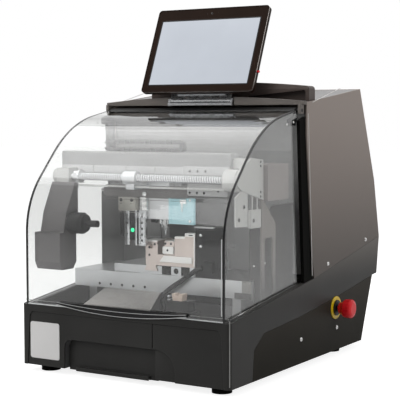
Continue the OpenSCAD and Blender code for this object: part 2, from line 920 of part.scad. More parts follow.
// Lens barrel of the reader, stepped down to its tip
module reader_lens() {
    color("#161617") on_bench()
        difference() {
            translate([-165, 62, 294])
                rotate([0, 90, 0])
                    rotate_extrude()
                        polygon([[0, 0], [21, 0], [22, 2], [22, 30], [18, 37], [8, 37], [7, 40], [7, 67],
                            [0, 67]]);
            bar_x(-108, -90, 62, 294, 4.5);
        }
}

// Places what it holds on the lower slope of the rear panel, with +Y pointing out of it
module on_rear(x, z) {
    translate([x, rear_y(z), z])
        rotate([atan(31/(rear_bend_h - rim_rear_h)), 0, 0])
            children();
}

// Power inlet with its flange, socket and the opening for the rocker
module power_inlet() {
    color("#18181a") on_bench()
        on_rear(inlet_x, inlet_z)
            difference() {
                union() {
                    deep(gap, 2.3)
                        soft_rect(-27, 27, -32, 32, 4);
                    deep(-24, gap + 1)
                        soft_rect(-22, 22, -25, 25, 3);
                }
                // socket with its three pins left standing
                difference() {
                    deep(-16, 3)
                        polygon([[-12, -22], [12, -22], [12, -9], [8, -5], [-8, -5], [-12, -9]]);
                    for (p = [[-7, -15], [0, -11], [7, -15]])
                        blk(p[0] - 1, p[0] + 1, -17, -2, p[1] - 2, p[1] + 2);
                }
                // opening for the rocker
                blk(-rocker_w/2 - 0.5, rocker_w/2 + 0.5, -14, 3, rocker_z - 7, rocker_z + 7);
            }
}

// Finger guard over the fan
module fan_grille() {
    color("#161616") on_bench()
        on_rear(fan_x, fan_z)
            difference() {
                union() {
                    deep(gap, 1.8)
                        difference() {
                            soft_rect(-42, 42, -42, 42, 6);
                            circle(37);
                        }
                    deep(gap, 1.8)
                        for (r = [8:8:32])
                            difference() {
                                circle(r + 1);
                                circle(r - 1);
                            }
                    deep(gap, 1.8)
                        for (a = [45, 135])
                            rotate(a)
                                translate([-38, -1.5])
                                    square([76, 3]);
                }
                for (x = [-36, 36], z = [-36, 36])
                    bar_y(0, 3, x, z, 2.2);
            }
}

// Tangent points and centres of the shield outline
low_c = [bend_low_r, bend_start_h];
top_c = low_c + bend_low_r*[-sin(mid_slope), cos(mid_slope)] + mid_len*[cos(mid_slope), sin(mid_slope)]
    + bend_top_r*[sin(mid_slope), -cos(mid_slope)];
function on_low(a, t) = low_c + (bend_low_r - t)*[-sin(a), cos(a)];
function on_top(a, t) = top_c + (bend_top_r - t)*[-sin(a), cos(a)];
function roof_at(y, t) = on_top(top_slope, t)[1] + (y - on_top(top_slope, t)[0])*tan(top_slope);

// Side outline of the space under the shield, brought in by t
module dome(t) {
    polygon(concat([[t, 60]],
        [for (i = [0:bend_steps]) on_low(90 - (90 - mid_slope)*i/bend_steps, t)],
        [for (i = [0:bend_steps]) on_top(mid_slope - (mid_slope - top_slope)*i/bend_steps, t)],
        [[360, roof_at(360, t)], [360, 60]]));
}

// Flat clear side of the shield
module shield_side(x0, x1) {
    across(x0, x1)
        intersection() {
            dome(0);
            polygon([[-1, rim_z(0) + 1], [344, rim_z(344) + 1], [322, 500], [296, 514], [sheet_end_y, 524],
                [sheet_end_y, 600], [-1, 600]]);
        }
}

module shield_side_right() {
    color([0.75, 0.76, 0.78, 0.35]) on_bench()
        shield_side(shield_x - sheet_t, shield_x);
}

module shield_side_left() {
    color([0.75, 0.76, 0.78, 0.35]) on_bench()
        shield_side(-shield_x, sheet_t - shield_x);
}

// Bent clear sheet between the two sides
module shield_front() {
    color([0.8, 0.81, 0.83, 0.35]) on_bench()
        across(sheet_t - shield_x, shield_x - sheet_t)
            intersection() {
                difference() {
                    dome(0);
                    dome(sheet_t);
                }
                polygon([[-1, rim_z(0) + 1], [60, rim_z(0) + 1], [sheet_end_y, 400], [sheet_end_y, 600],
                    [-1, 600]]);
            }
}

// Crescent grip tab on the lower edge of the shield
module shield_grip() {
    grip_r = (grip_w*grip_w/4 + grip_drop*grip_drop)/(2*grip_drop);
    color([0.2, 0.2, 0.21, 0.6]) on_bench()
        union() {
            deep(-grip_reach, -1)
                intersection() {
                    translate([0, rim_z(0) + 7 - grip_drop + grip_r])
                        circle(grip_r, $fn = 720);
                    translate([-grip_w/2, rim_z(0) - grip_drop])
                        square([grip_w, grip_drop + 11]);
                }
            blk(-grip_w/2 + 4, grip_w/2 - 4, -1.5, 0, rim_z(0) + 4, rim_z(0) + 11);
        }
}

// Black hinge rail along the rear edge of the shield, with its ears and pins
module shield_hinge_arms() {
    color("#161617") on_bench()
        union() {
            bar_x(sheet_t + gap - shield_x, shield_x - sheet_t - gap, hinge_y, hinge_z, 6.5);
            across(sheet_t + gap - shield_x, shield_x - sheet_t - gap)
                polygon([[sheet_end_y + gap, roof_at(sheet_end_y, 0) - 4.2], [sheet_end_y + gap,
                    roof_at(sheet_end_y, 0)], [hinge_y - 3, hinge_z + 5.5], [hinge_y - 3, hinge_z - 5.5]]);
            for (x = [sheet_t + gap - shield_x, shield_x - sheet_t - gap - 4])
                across(x, x + 4)
                    polygon([[hinge_y - 7, hinge_z - 2], [hinge_y + 5, hinge_z - 4],
                        [hinge_y - 12, hinge_z - 31], [hinge_y - 42, hinge_z - 31],
                        [hinge_y - 42, hinge_z - 18], [hinge_y - 18, hinge_z - 11]]);
            bar_x(-half_w + skin_t + 1.3, half_w - skin_t - 1.3, hinge_y, hinge_z, 4);
        }
}

// Places what it holds in the plane of the display: +Z up along it, -Y out of its face
module on_display() {
    translate([0, tilt_y, tilt_z])
        rotate([-tab_lean, 0, 0])
            children();
}

// Display case with a thinner rim and the electronics box at the back
module tablet_case() {
    color("#2a2422") on_bench()
        on_display()
            difference() {
                union() {
                    deep(tab_face, tab_face + tab_t*0.55)
                        soft_rect(-tab_w/2, tab_w/2, tab_mid - tab_h/2, tab_mid + tab_h/2, tab_r);
                    deep(tab_face + tab_t*0.5, tab_face + tab_t)
                        soft_rect(14 - tab_w/2, tab_w/2 - 14, tab_mid - tab_h/2 + 3, tab_mid + tab_h/2 - 12,
                            6);
                    deep(tab_face + tab_t - 1, tab_face + tab_t + 7)
                        soft_rect(-90, 90, 34, 150, 8);
                }
                // pocket for the glass
                deep(tab_face - 1, tab_face + 2)
                    soft_rect(2.5 - tab_w/2, tab_w/2 - 2.5, tab_mid - tab_h/2 + 2.5,
                        tab_mid + tab_h/2 - 2.5, tab_r - 2);
                // bore of the side button
                bar_x(tab_w/2 - 6, tab_w/2 + 1, tab_face + 6, button_up, 2.6);
            }
}

// Front glass, with the lit area slightly proud of its border
module tablet_screen() {
    color("#1a1514") on_bench()
        on_display()
            union() {
                deep(tab_face + 0.4, tab_face + 2)
                    soft_rect(2.8 - tab_w/2, tab_w/2 - 2.8, tab_mid - tab_h/2 + 2.8,
                        tab_mid + tab_h/2 - 2.8, tab_r - 2.3);
                deep(tab_face + 0.1, tab_face + 1)
                    translate([-lit_w/2, tab_mid - 5.6 - lit_h/2])
                        square([lit_w, lit_h]);
            }
}

// Silver hinge leaf of the display
module tablet_bracket() {
    color("#cfd1d3") on_bench()
        on_display()
            difference() {
                union() {
                    bar_x(ear_t + gap - tilt_w/2, tilt_w/2 - ear_t - gap, 0, 0, barrel_r);
                    blk(ear_t + gap - tilt_w/2, tilt_w/2 - ear_t - gap, -4, 0, 0, 26);
                    blk(-60, 60, tab_face + tab_t, -3, 12, 26);
                }
                bar_x(-tilt_w/2, tilt_w/2, 0, 0, 1.85);
            }
}

// Small red button in the right edge of the display
module tablet_button() {
    color("#b3261e") on_bench()
        on_display()
            bar_x(tab_w/2 - 3, tab_w/2 + 4, tab_face + 6, button_up, 2.5);
}

// Open swarf drawer
module drawer_box() {
    color("#3c3c3e") on_bench()
        difference() {
            blk(arch_left + 6, seam_x - 2, recess_d + 4, recess_d + 4 + drawer_d, pan_t + gap,
                pan_t + gap + drawer_h);
            blk(arch_left + 6 + drawer_t, seam_x - 2 - drawer_t, recess_d + 4 + drawer_t,
                recess_d + 4 + drawer_d - drawer_t, pan_t + gap + drawer_t, pan_t + gap + drawer_h + 1);
        }
}

// Drawer front, set back in the arch, with a finger lip along its lower edge
module drawer_front() {
    color("#202022") on_bench()
        union() {
            deep(recess_d, recess_d + 4)
                intersection() {
                    arch(-drawer_gap);
                    translate([arch_left, -4])
                        square([seam_x + 3 - arch_left, arch_h]);
                }
            difference() {
                blk(arch_left + 24, seam_x - 14, recess_d - 9, recess_d + 1, -4, 4);
                // hollow for the fingertips
                bar_x(arch_left + 20, seam_x - 10, recess_d - 4.5, -4, 3.2);
            }
        }
}

// Stem of the stop button
module estop_plunger() {
    color("#8c1712") on_bench()
        bar_x(half_w - 8, stop_head_x, stop_y, stop_z, stop_stem_r);
}

// Red mushroom head of the stop button
module estop_head() {
    head_l = stop_reach - (stop_head_x - half_w);
    r = stop_head_dia/2;
    color("#c8201a") on_bench()
        translate([stop_head_x, stop_y, stop_z])
            rotate([0, 90, 0])
                rotate_extrude()
                    polygon([[0, 0], [12, 0], [14, 6], [r - 1, 12], [r, 14], [r, head_l - 6],
                        [r - 2, head_l - 2], [r - 7, head_l], [0, head_l]]);
}

// Ball screw of the gantry with its encoder disc
module x_screw() {
    color("#c3c6c9") on_bench()
        union() {
            bar_x(left_block_r - 30, right_bearing_l + 15, screw_y, screw_z, screw_dia/2);
            bar_x(left_block_r + 6, left_block_r + 18, screw_y, screw_z, 12);
            bar_x(left_block_r + 18, left_block_r + 22, screw_y, screw_z, 14);
        }
}

// Carriage of the head: slider block, nut, grey cover, probe column and lit panel
module x_carriage() {
    rail_back = beam_y + beam_t + 8 + gap;
    color("#8f9296") on_bench()
        difference() {
            union() {
                // slider block on the rail, and its neck down to the cover
                blk(head_x - 35, head_x + 35, rail_back, 152, 386, beam_z - 1);
                blk(head_x - 35, head_x + 60, 150, 168, 350, beam_z - 1);
                // grey cover
                deep(150, 168)
                    soft_rect(head_x - 107, head_x + 107, 344, 369, 9);
                // back plate and guide of the spindle head
                blk(head_x - 20, head_x + 60, 160, 168, 300, 360);
                blk(cutter_x - 8, cutter_x + 8, 167, 172 - gap, 300, beam_z - 1);
                // nut of the ball screw and its bracket
                bar_x(head_x - 16, head_x + 16, screw_y, screw_z, 14);
                blk(head_x - 10, head_x + 10, screw_y - 6, 152, rod_z - 5, rod_z + 7);
                // probe column: plate and two rods
                blk(head_x - 68, head_x - 24, 150, 158, 316, 346);
                blk(head_x - 66, head_x - 57, 150, 158, 244, 320);
                blk(head_x - 40, head_x - 31, 150, 158, 244, 320);
                blk(head_x - 58, head_x - 39, 153, 157, 262, 306);
                // silver cylinder and its rod
                bar_z(315, 346, head_x, 158, 9);
                bar_z(256, 320, head_x, 158, 3.5);
                // lit panel at the right of the head
                blk(head_x + 58, head_x + 119, 150, 157, 293, 346);
            }
            // running bores of the screw and the guide rod
            bar_x(head_x - 17, head_x + 17, screw_y, screw_z, screw_dia/2 + 0.1);
            bar_x(head_x - 17, head_x + 17, screw_y, rod_z, 2.1);
            // window of the lit panel
            blk(head_x + 63, head_x + 114, 149, 152, 298, 338);
        }
}

// Spindle housing with the tracer holder beside it
module spindle_head() {
    color("#b7babd") on_bench()
        difference() {
            union() {
                blk(cutter_x - 26, cutter_x + 11, 172, 222, 300, 392);
                bar_z(392, 398, cutter_x - 6, cutter_y + 2, 16);
                // nose
                bar_z(288, 301, cutter_x, cutter_y, 13);
                bar_z(281, 289, cutter_x, cutter_y, 9);
                // tracer holder
                blk(cutter_x + 10, cutter_x + tracer_pitch + 11, 182, 208, 340, 386);
            }
            bar_z(280, 300, cutter_x, cutter_y, cutter_dia/2 + 0.05);
            bar_z(339, 376, cutter_x + tracer_pitch, cutter_y, 2.55);
        }
}

// Milling cutter
module cutter() {
    color("#d9dadb") on_bench()
        union() {
            bar_z(cutter_tip + 8, 299, cutter_x, cutter_y, cutter_dia/2);
            difference() {
                bar_z(cutter_tip, cutter_tip + 9, cutter_x, cutter_y, 2.2);
                // flutes
                for (a = [0, 120, 240])
                    translate([cutter_x + 2.6*cos(a), cutter_y + 2.6*sin(a), cutter_tip - 1])
                        cylinder(h = 8, r = 1.2);
            }
        }
}

// Sprung tracer pin
module tracer() {
    color("#d0d2d4") on_bench()
        union() {
            bar_z(324, 368, cutter_x + tracer_pitch, cutter_y, 2.5);
            bar_z(319, 325, cutter_x + tracer_pitch, cutter_y, 1.2);
        }
}

// Sliding part of the clamp: base plate, dovetail foot, fixed jaw and stepped block
module clamp_slide() {
    base_top = clamp_z + 23;
    jaw_top = base_top + jaw_h - 4.5;
    y1 = clamp_y + clamp_len;
    color("#c9b8ac") on_bench()
        difference() {
            union() {
                blk(-27, 72, clamp_y, y1, clamp_z, base_top);
                // dovetail foot
                deep(clamp_y, y1)
                    polygon([[-52, clamp_z - 12], [-20, clamp_z - 12], [-24, clamp_z - 2.1],
                        [-24, clamp_z + 1], [-19.5, clamp_z + 1], [-19.5, clamp_z + 19],
                        [-49.5, clamp_z + 19], [-49.5, clamp_z + 1], [-48, clamp_z + 1],
                        [-48, clamp_z - 2.1]]);
                // fixed jaw
                blk(-49.5, fixed_jaw_r, clamp_y, y1, clamp_z + 18, jaw_top);
                // stepped block on the right
                blk(block_l, 72, clamp_y, y1, base_top - 1, base_top + 22);
                blk(block_l, 72, clamp_y, clamp_y + 17, base_top - 1, base_top + 39);
                blk(48, 72, clamp_y, clamp_y + 17, base_top - 1, base_top + 47);
                // nut of the table screw
                blk(table_screw_x - 10, table_screw_x + 10, clamp_y + 16, clamp_y + 40, table_z + 1,
                    clamp_z + 1);
            }
            bar_y(clamp_y, y1, table_screw_x, table_screw_z, table_screw_r + 0.1);
            bar_x(block_l - 1, 73, clamp_screw_y, clamp_screw_z, 4.1);
            bar_y(clamp_y - 1, clamp_y + 9, -35, jaw_top - 12, 5);
            // key groove in the fixed jaw
            blk(fixed_jaw_r - 2, fixed_jaw_r + 1, clamp_y - 1, y1 + 1, jaw_top - 7, jaw_top - 3.5);
            // step at the back of the fixed jaw
            blk(-51, -34, y1 - 20, y1 + 1, jaw_top - 9, jaw_top + 1);
        }
}

// Screw that moves the clamp across the table
module table_screw() {
    color("#c0c3c6") on_bench()
        union() {
            bar_y(table_y + 12, 315, table_screw_x, table_screw_z, table_screw_r);
            bar_y(316 + gap, 322, table_screw_x, table_screw_z, table_screw_r + 2);
            bar_y(315, 317, table_screw_x, table_screw_z, table_screw_r - 0.5);
        }
}

// Moving jaw of the clamp
module clamp_jaw() {
    base_top = clamp_z + 23;
    jaw_top = base_top + jaw_h - 4.5;
    color("#d6c9bf") on_bench()
        difference() {
            blk(fixed_jaw_r + jaw_gap, fixed_jaw_r + jaw_gap + 24.5, clamp_y + 3, clamp_y + clamp_len - 3,
                base_top + gap, jaw_top);
            blk(fixed_jaw_r + jaw_gap - 1, fixed_jaw_r + jaw_gap + 2, clamp_y, clamp_y + clamp_len,
                jaw_top - 7, jaw_top - 3.5);
            bar_x(fixed_jaw_r + jaw_gap - 1, 60, clamp_screw_y, clamp_screw_z, 4.1);
        }
}

// Screw and knurled knob of the clamp
module clamp_screw() {
    color("#cfcfcd") on_bench()
        difference() {
            union() {
                bar_x(fixed_jaw_r + jaw_gap + 2, 76, clamp_screw_y, clamp_screw_z, 4);
                bar_x(72 + gap, 84, clamp_screw_y, clamp_screw_z, 9.5);
            }
            // grip flutes round the knob
            for (a = [0:30:330])
                bar_x(73.5, 85, clamp_screw_y + 10*cos(a), clamp_screw_z + 10*sin(a), 1.3);
        }
}

// Rocker of the power switch
module power_rocker() {
    color("#202021") on_bench()
        on_rear(inlet_x, inlet_z)
            translate([0, -3, rocker_z])
                rotate([-rocker_tilt, 0, 0])
                    union() {
                        across(-rocker_w/2, rocker_w/2)
                            polygon([[-6, -3.5], [4.2, -6], [7, -5.6], [4.6, 0], [7, 5.6], [4.2, 6],
                                [-6, 3.5]]);
                        // pin that it rocks on
                        bar_x(-rocker_w/2 - gap, rocker_w/2 + gap, 0, 0, 1.5);
                    }
}

base_shell();
floor_pan();
side_plate_right();
side_plate_left();
front_panel_left();
front_panel_right();
recess_liner();
name_plate();
rubber_feet();
chamber_tray();
chip_chute();
housing_side_right();
housing_side_left();
housing_back_panel();
housing_top_cover();
top_hood();
front_trim();
tablet_mount();
seal_strip_right();
seal_strip_left();
chamber_back_wall();
body_screws();
estop_collar();
gantry_beam();
gantry_end_right();
gantry_end_left();
screw_motor();
x_rail();
cable_chain();
machine_table();
side_pillar();
probe_plate();
probe_lead();
reader_cover();
reader_lens();
power_inlet();
fan_grille();
shield_side_right();
shield_side_left();
shield_front();
shield_grip();
shield_hinge_arms();
tablet_case();
tablet_screen();
tablet_bracket();
tablet_button();
drawer_box();
drawer_front();
estop_plunger();
estop_head();
x_screw();
x_carriage();
spindle_head();
cutter();
tracer();
clamp_slide();
table_screw();
clamp_jaw();
clamp_screw();
power_rocker();
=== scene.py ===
# %% [markdown]
# # Key duplicating machine
# The machine cuts a copy of a key: a key is held in the clamp, a head reads or traces it, and a
# small milling cutter shapes the blank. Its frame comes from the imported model, so every piece has
# its true place and moves with its own body. This lesson gives each surface its finish and adds
# the small pieces that only the eye needs: screw threads, edge lines, lamps and fixings.

# %% Load the frame
import math

import bmesh
import bpy
from mathutils import Matrix, Vector


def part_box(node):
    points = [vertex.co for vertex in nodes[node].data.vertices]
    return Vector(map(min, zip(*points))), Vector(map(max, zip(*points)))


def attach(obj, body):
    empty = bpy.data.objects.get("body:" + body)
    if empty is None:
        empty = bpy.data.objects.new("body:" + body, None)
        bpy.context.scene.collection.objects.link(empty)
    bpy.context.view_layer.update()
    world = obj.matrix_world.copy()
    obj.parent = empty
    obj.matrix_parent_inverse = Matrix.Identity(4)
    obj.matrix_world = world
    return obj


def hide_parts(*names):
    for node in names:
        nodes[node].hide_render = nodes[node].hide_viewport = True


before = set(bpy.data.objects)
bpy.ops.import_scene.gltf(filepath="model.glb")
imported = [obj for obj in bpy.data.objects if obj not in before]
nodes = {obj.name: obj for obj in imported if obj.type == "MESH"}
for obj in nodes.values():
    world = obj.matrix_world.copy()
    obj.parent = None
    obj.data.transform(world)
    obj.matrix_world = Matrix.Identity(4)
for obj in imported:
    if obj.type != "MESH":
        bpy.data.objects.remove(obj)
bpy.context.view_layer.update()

# %% [markdown]
# Sizes in this lesson are taken in the machine's own measure: millimetres across from the middle
# plane, back from the front face of the base, and up from its lower edge. One function turns them
# into the metres of the frame, so a new piece is placed by the same numbers as the solids.

# %% Measures
MM = 0.001
SHIFT = Vector((-21.5, -348.5, 15.0))


def at(x, y, z):
    return (Vector((x, y, z)) + SHIFT) * MM


def linked(name, mesh):
    piece = bpy.data.objects.new(name, mesh)
    bpy.context.scene.collection.objects.link(piece)
    return piece


def node(tree, kind, values=None, **settings):
    """A shader node with its settings and the values of its own sockets."""
    n = tree.nodes.new("ShaderNode" + kind)
    for k, v in settings.items():
        setattr(n, k, v)
    for k, v in (values or {}).items():
        n.inputs[k].default_value = v
    return n


def wire(tree, *pairs):
    """Links each output socket to its input socket."""
    for a, b in pairs:
        tree.links.new(a, b)


def empty_tree(owner):
    """The cleared shader tree of a world or a material."""
    owner.use_nodes = True
    owner.node_tree.nodes.clear()
    return owner.node_tree


print("base corner:", tuple(round(v, 3) for v in at(-250, 0, 0)))

# %% [markdown]
# The camera stands to the right of the front and a little above the rim, far away with a long
# lens, so that upright edges stay almost parallel. It is made before anything else, since the
# background and the lamps are judged through it.

# %% Camera
AZIMUTH, ELEVATION, ROLL = math.radians(31.43), math.radians(3.98), math.radians(-0.09)
back = Vector((math.sin(AZIMUTH) * math.cos(ELEVATION), -math.cos(AZIMUTH) * math.cos(ELEVATION),
               math.sin(ELEVATION)))
camera_data = bpy.data.cameras.new("camera")
camera_data.sensor_width = 36.0
camera_data.lens = 108.3
camera_data.clip_end = 50.0
camera = bpy.data.objects.new("camera", camera_data)
bpy.context.scene.collection.objects.link(camera)
camera.location = at(1363.4, -1928.7, 514.4)
camera.rotation_mode = "QUATERNION"
turn = Matrix.Rotation(ROLL, 4, back).to_quaternion()
camera.rotation_quaternion = turn @ (-back).to_track_quat("-Z", "Y")
bpy.context.scene.camera = camera
print("camera at", tuple(round(v, 3) for v in camera.location))

# %% [markdown]
# The room is a plain studio: a white sweep behind, beside and above the machine, and a dim room on
# the side from which it is seen. The world gives an even fill to matt surfaces. The camera and what
# is seen through glass show the sweep white on all sides. Reflections show it white too, with a
# soft dark zone on the dim side, so that upright faces turned to the front stay dark. Broad lamps
# model the form; the front one is not mirrored, or it would lie on the shield as a white band.

# %% World and lamps
scene = bpy.context.scene
scene.view_settings.view_transform = "Standard"
FILL = 0.36
WHITE = (1, 1, 1, 1)
DIM = (0.16, 0.16, 0.17, 1)
world = bpy.data.worlds.new("studio")
scene.world = world
wt = empty_tree(world)
w_out = node(wt, "OutputWorld")
w_fill = node(wt, "Background", {"Color": WHITE, "Strength": FILL})
w_seen = node(wt, "Background", {"Color": WHITE, "Strength": 1.0})
w_gloss = node(wt, "Background", {"Strength": 1.0})
w_dir = node(wt, "TexCoord")
w_dot = node(wt, "VectorMath", {1: (0.30, -0.88, -0.15)}, operation="DOT_PRODUCT")
w_zone = node(wt, "MapRange", {"From Min": 0.15, "From Max": 0.75}, interpolation_type="SMOOTHSTEP")
w_tone = node(wt, "Mix", {6: WHITE, 7: DIM}, data_type="RGBA")
w_path = node(wt, "LightPath")
w_any = node(wt, "Math", operation="MAXIMUM")
w_mix, w_mix2 = node(wt, "MixShader"), node(wt, "MixShader")
wire(wt, (w_dir.outputs["Generated"], w_dot.inputs[0]), (w_dot.outputs["Value"], w_zone.inputs["Value"]),
     (w_zone.outputs[0], w_tone.inputs[0]), (w_tone.outputs[2], w_gloss.inputs["Color"]),
     (w_path.outputs["Is Camera Ray"], w_any.inputs[0]),
     (w_path.outputs["Is Transmission Ray"], w_any.inputs[1]),
     (w_path.outputs["Is Glossy Ray"], w_mix.inputs["Fac"]), (w_fill.outputs[0], w_mix.inputs[1]),
     (w_gloss.outputs[0], w_mix.inputs[2]), (w_any.outputs[0], w_mix2.inputs["Fac"]),
     (w_mix.outputs[0], w_mix2.inputs[1]), (w_seen.outputs[0], w_mix2.inputs[2]),
     (w_mix2.outputs[0], w_out.inputs["Surface"]))


def lamp(name, place, aim, size, power, length=None, mirrored=True):
    """A soft lamp at a place, turned to what it lights; length makes it oblong."""
    data = bpy.data.lights.new(name, "AREA")
    data.size = size
    if length is not None:
        data.shape = "RECTANGLE"
        data.size_y = length
    data.energy = power
    obj = bpy.data.objects.new(name, data)
    scene.collection.objects.link(obj)
    obj.location = place
    obj.rotation_mode = "QUATERNION"
    obj.rotation_quaternion = (Vector(aim) - Vector(place)).to_track_quat("-Z", "Y")
    obj.visible_glossy = mirrored
    return obj


lamp("front_lamp", (-0.9, -2.6, 2.0), (0, 0, 0.3), 1.6, 30, mirrored=False)
lamp("side_lamp", (2.6, 0.3, 1.7), (0, 0, 0.3), 1.4, 14)
lamp("overhead_wide", (-1.25, -0.10, 2.25), (-1.15, -0.10, 0), 1.9, 18, length=3.7)
lamp("overhead_inner", (-1.2, 0.25, 2.2), (-1.1, 0.25, 0), 1.7, 19, length=2.8)

# %% [markdown]
# The floor is one wide pale sheet. It should read as white paper and still take the soft shadow
# under the machine, so its shader adds a share of plain white to a share of lit paper. The white
# shows only to the camera, through glass and in reflections. In reflections it is about half as
# bright and fades a step in front of the machine, where the dim room begins: full white would turn
# the dark paints grey.

# %% Floor
floor_mesh = bpy.data.meshes.new("studio_floor")
R = 14.0
floor_mesh.from_pydata([(-R, -R, 0), (R, -R, 0), (R, R, 0), (-R, R, 0)], [], [(0, 1, 2, 3)])
floor = linked("studio_floor", floor_mesh)
paper = bpy.data.materials.new("studio_paper")
pt = empty_tree(paper)
p_out = node(pt, "OutputMaterial")
p_lit = node(pt, "BsdfDiffuse", {"Color": (0.50, 0.50, 0.50, 1)})
p_glow = node(pt, "Emission", {"Color": WHITE})
p_add = node(pt, "AddShader")
p_path = node(pt, "LightPath")
p_any, p_any2 = node(pt, "Math", operation="MAXIMUM"), node(pt, "Math", operation="MAXIMUM")
p_share = node(pt, "Math", {1: 0.85}, operation="MULTIPLY")
p_where = node(pt, "TexCoord")
p_dot = node(pt, "VectorMath", {1: (0.30, -0.88, 0.0)}, operation="DOT_PRODUCT")
p_far = node(pt, "MapRange", {"From Min": 0.75, "From Max": 2.2, "To Min": 0.55, "To Max": 0.10},
             interpolation_type="SMOOTHSTEP")
p_gloss = node(pt, "Math", operation="MULTIPLY")
wire(pt, (p_path.outputs["Is Camera Ray"], p_any.inputs[0]),
     (p_path.outputs["Is Transmission Ray"], p_any.inputs[1]),
     (p_where.outputs["Object"], p_dot.inputs[0]), (p_dot.outputs["Value"], p_far.inputs["Value"]),
     (p_path.outputs["Is Glossy Ray"], p_gloss.inputs[0]), (p_far.outputs[0], p_gloss.inputs[1]),
     (p_any.outputs[0], p_any2.inputs[0]), (p_gloss.outputs[0], p_any2.inputs[1]),
     (p_any2.outputs[0], p_share.inputs[0]), (p_share.outputs[0], p_glow.inputs["Strength"]),
     (p_lit.outputs[0], p_add.inputs[0]), (p_glow.outputs[0], p_add.inputs[1]),
     (p_add.outputs[0], p_out.inputs["Surface"]))
floor_mesh.materials.append(paper)
print("floor:", floor.name)

# %% [markdown]
# Effects that several finishes share are node groups, built once. A group only puts out masks,
# heights and normals; the shader itself stays in each material, where its own values are set.
# Every coordinate is the object's own, so a texture stays on its piece when the piece moves.

# %% Group helper
def group(name, ins, outs):
    """A shader node group with named float, colour or vector sockets."""
    g = bpy.data.node_groups.new(name, "ShaderNodeTree")
    kinds = {"f": "NodeSocketFloat", "c": "NodeSocketColor", "v": "NodeSocketVector"}
    for label, kind, value in ins:
        s = g.interface.new_socket(label, in_out="INPUT", socket_type=kinds[kind])
        if value is not None:
            s.default_value = value
    for label, kind in outs:
        g.interface.new_socket(label, in_out="OUTPUT", socket_type=kinds[kind])
    return g, g.nodes.new("NodeGroupInput"), g.nodes.new("NodeGroupOutput")


def math_node(tree, op, a, b=None, clamp=False):
    """A Math node whose inputs are sockets or numbers; gives its output socket."""
    n = node(tree, "Math", operation=op, use_clamp=clamp)
    for k, v in enumerate((a, b)):
        if isinstance(v, (int, float)):
            n.inputs[k].default_value = v
        elif v is not None:
            tree.links.new(v, n.inputs[k])
    return n.outputs[0]


# %% [markdown]
# Textured paint is a hard film with fine pimples, like the skin of an orange, and a slow cloud of
# lighter and darker tone. Two noises at two scales give both.

# %% Group: paint grain
grain, gi, go = group("paint_grain", [("Scale", "f", 900.0), ("Cloud scale", "f", 9.0)],
                      [("Height", "f"), ("Cloud", "f")])
coords = node(grain, "TexCoord")
fine = node(grain, "TexVoronoi", {"Smoothness": 0.6}, feature="SMOOTH_F1")
soft = node(grain, "TexNoise", {"Detail": 4.0})
cloud = node(grain, "TexNoise", {"Detail": 3.0})
both = math_node(grain, "ADD", fine.outputs["Distance"], soft.outputs["Fac"])
wire(grain, *((coords.outputs["Object"], n.inputs["Vector"]) for n in (fine, soft, cloud)),
     (gi.outputs["Scale"], fine.inputs["Scale"]),
     (math_node(grain, "MULTIPLY", gi.outputs["Scale"], 0.31), soft.inputs["Scale"]),
     (gi.outputs["Cloud scale"], cloud.inputs["Scale"]),
     (math_node(grain, "MULTIPLY", both, 0.5), go.inputs["Height"]),
     (cloud.outputs["Fac"], go.inputs["Cloud"]))
print("group:", grain.name)

# %% [markdown]
# Painted and moulded edges wear pale where hands and tools touch them. The mask compares the flat
# normal with the normal that a small bevel would have: they differ only near an edge. Noise breaks
# the line up, so that the wear is never even.

# %% Group: edge wear
edge, gi, go = group("edge_wear", [("Width", "f", 0.0015), ("Amount", "f", 0.5)],
                     [("Mask", "f"), ("Normal", "v")])
bev = node(edge, "Bevel", samples=4)
geo, coords = node(edge, "NewGeometry"), node(edge, "TexCoord")
dot = node(edge, "VectorMath", operation="DOT_PRODUCT")
patch = node(edge, "TexNoise", {"Scale": 60.0, "Detail": 5.0})
away = math_node(edge, "SUBTRACT", 1.0, dot.outputs["Value"], clamp=True)
sharp = math_node(edge, "MULTIPLY", away, 4.0, clamp=True)
broken = math_node(edge, "MULTIPLY", sharp, patch.outputs["Fac"])
mask = math_node(edge, "MULTIPLY", broken, gi.outputs["Amount"], clamp=True)
wire(edge, (gi.outputs["Width"], bev.inputs["Radius"]), (bev.outputs["Normal"], dot.inputs[0]),
     (geo.outputs["Normal"], dot.inputs[1]), (coords.outputs["Object"], patch.inputs["Vector"]),
     (mask, go.inputs["Mask"]), (bev.outputs["Normal"], go.inputs["Normal"]))
print("group:", edge.name)

# %% [markdown]
# Brushed and ground metal carries fine lines in one direction. Noise drawn out along one axis
# gives lines; a second, slower noise gives the faint bands that rolling leaves.

# %% Group: brushed lines
brush, gi, go = group("brushed_lines", [("Along", "v", (1.0, 1.0, 1.0)), ("Scale", "f", 300.0)],
                      [("Height", "f"), ("Tone", "f")])
coords = node(brush, "TexCoord")
stretch = node(brush, "VectorMath", operation="MULTIPLY")
lines = node(brush, "TexNoise", {"Detail": 6.0})
bands = node(brush, "TexNoise", {"Scale": 24.0})
tone = math_node(brush, "ADD", math_node(brush, "MULTIPLY", lines.outputs["Fac"], 0.6),
                 math_node(brush, "MULTIPLY", bands.outputs["Fac"], 0.4))
wire(brush, (coords.outputs["Object"], stretch.inputs[0]), (gi.outputs["Along"], stretch.inputs[1]),
     (stretch.outputs["Vector"], lines.inputs["Vector"]), (gi.outputs["Scale"], lines.inputs["Scale"]),
     (coords.outputs["Object"], bands.inputs["Vector"]),
     (lines.outputs["Fac"], go.inputs["Height"]), (tone, go.inputs["Tone"]))
print("group:", brush.name)

# %% [markdown]
# Dust and metal swarf settle on faces that look up. The mask is the upward part of the normal
# times a speckle, so that it lies on ledges and floors and leaves walls clean.

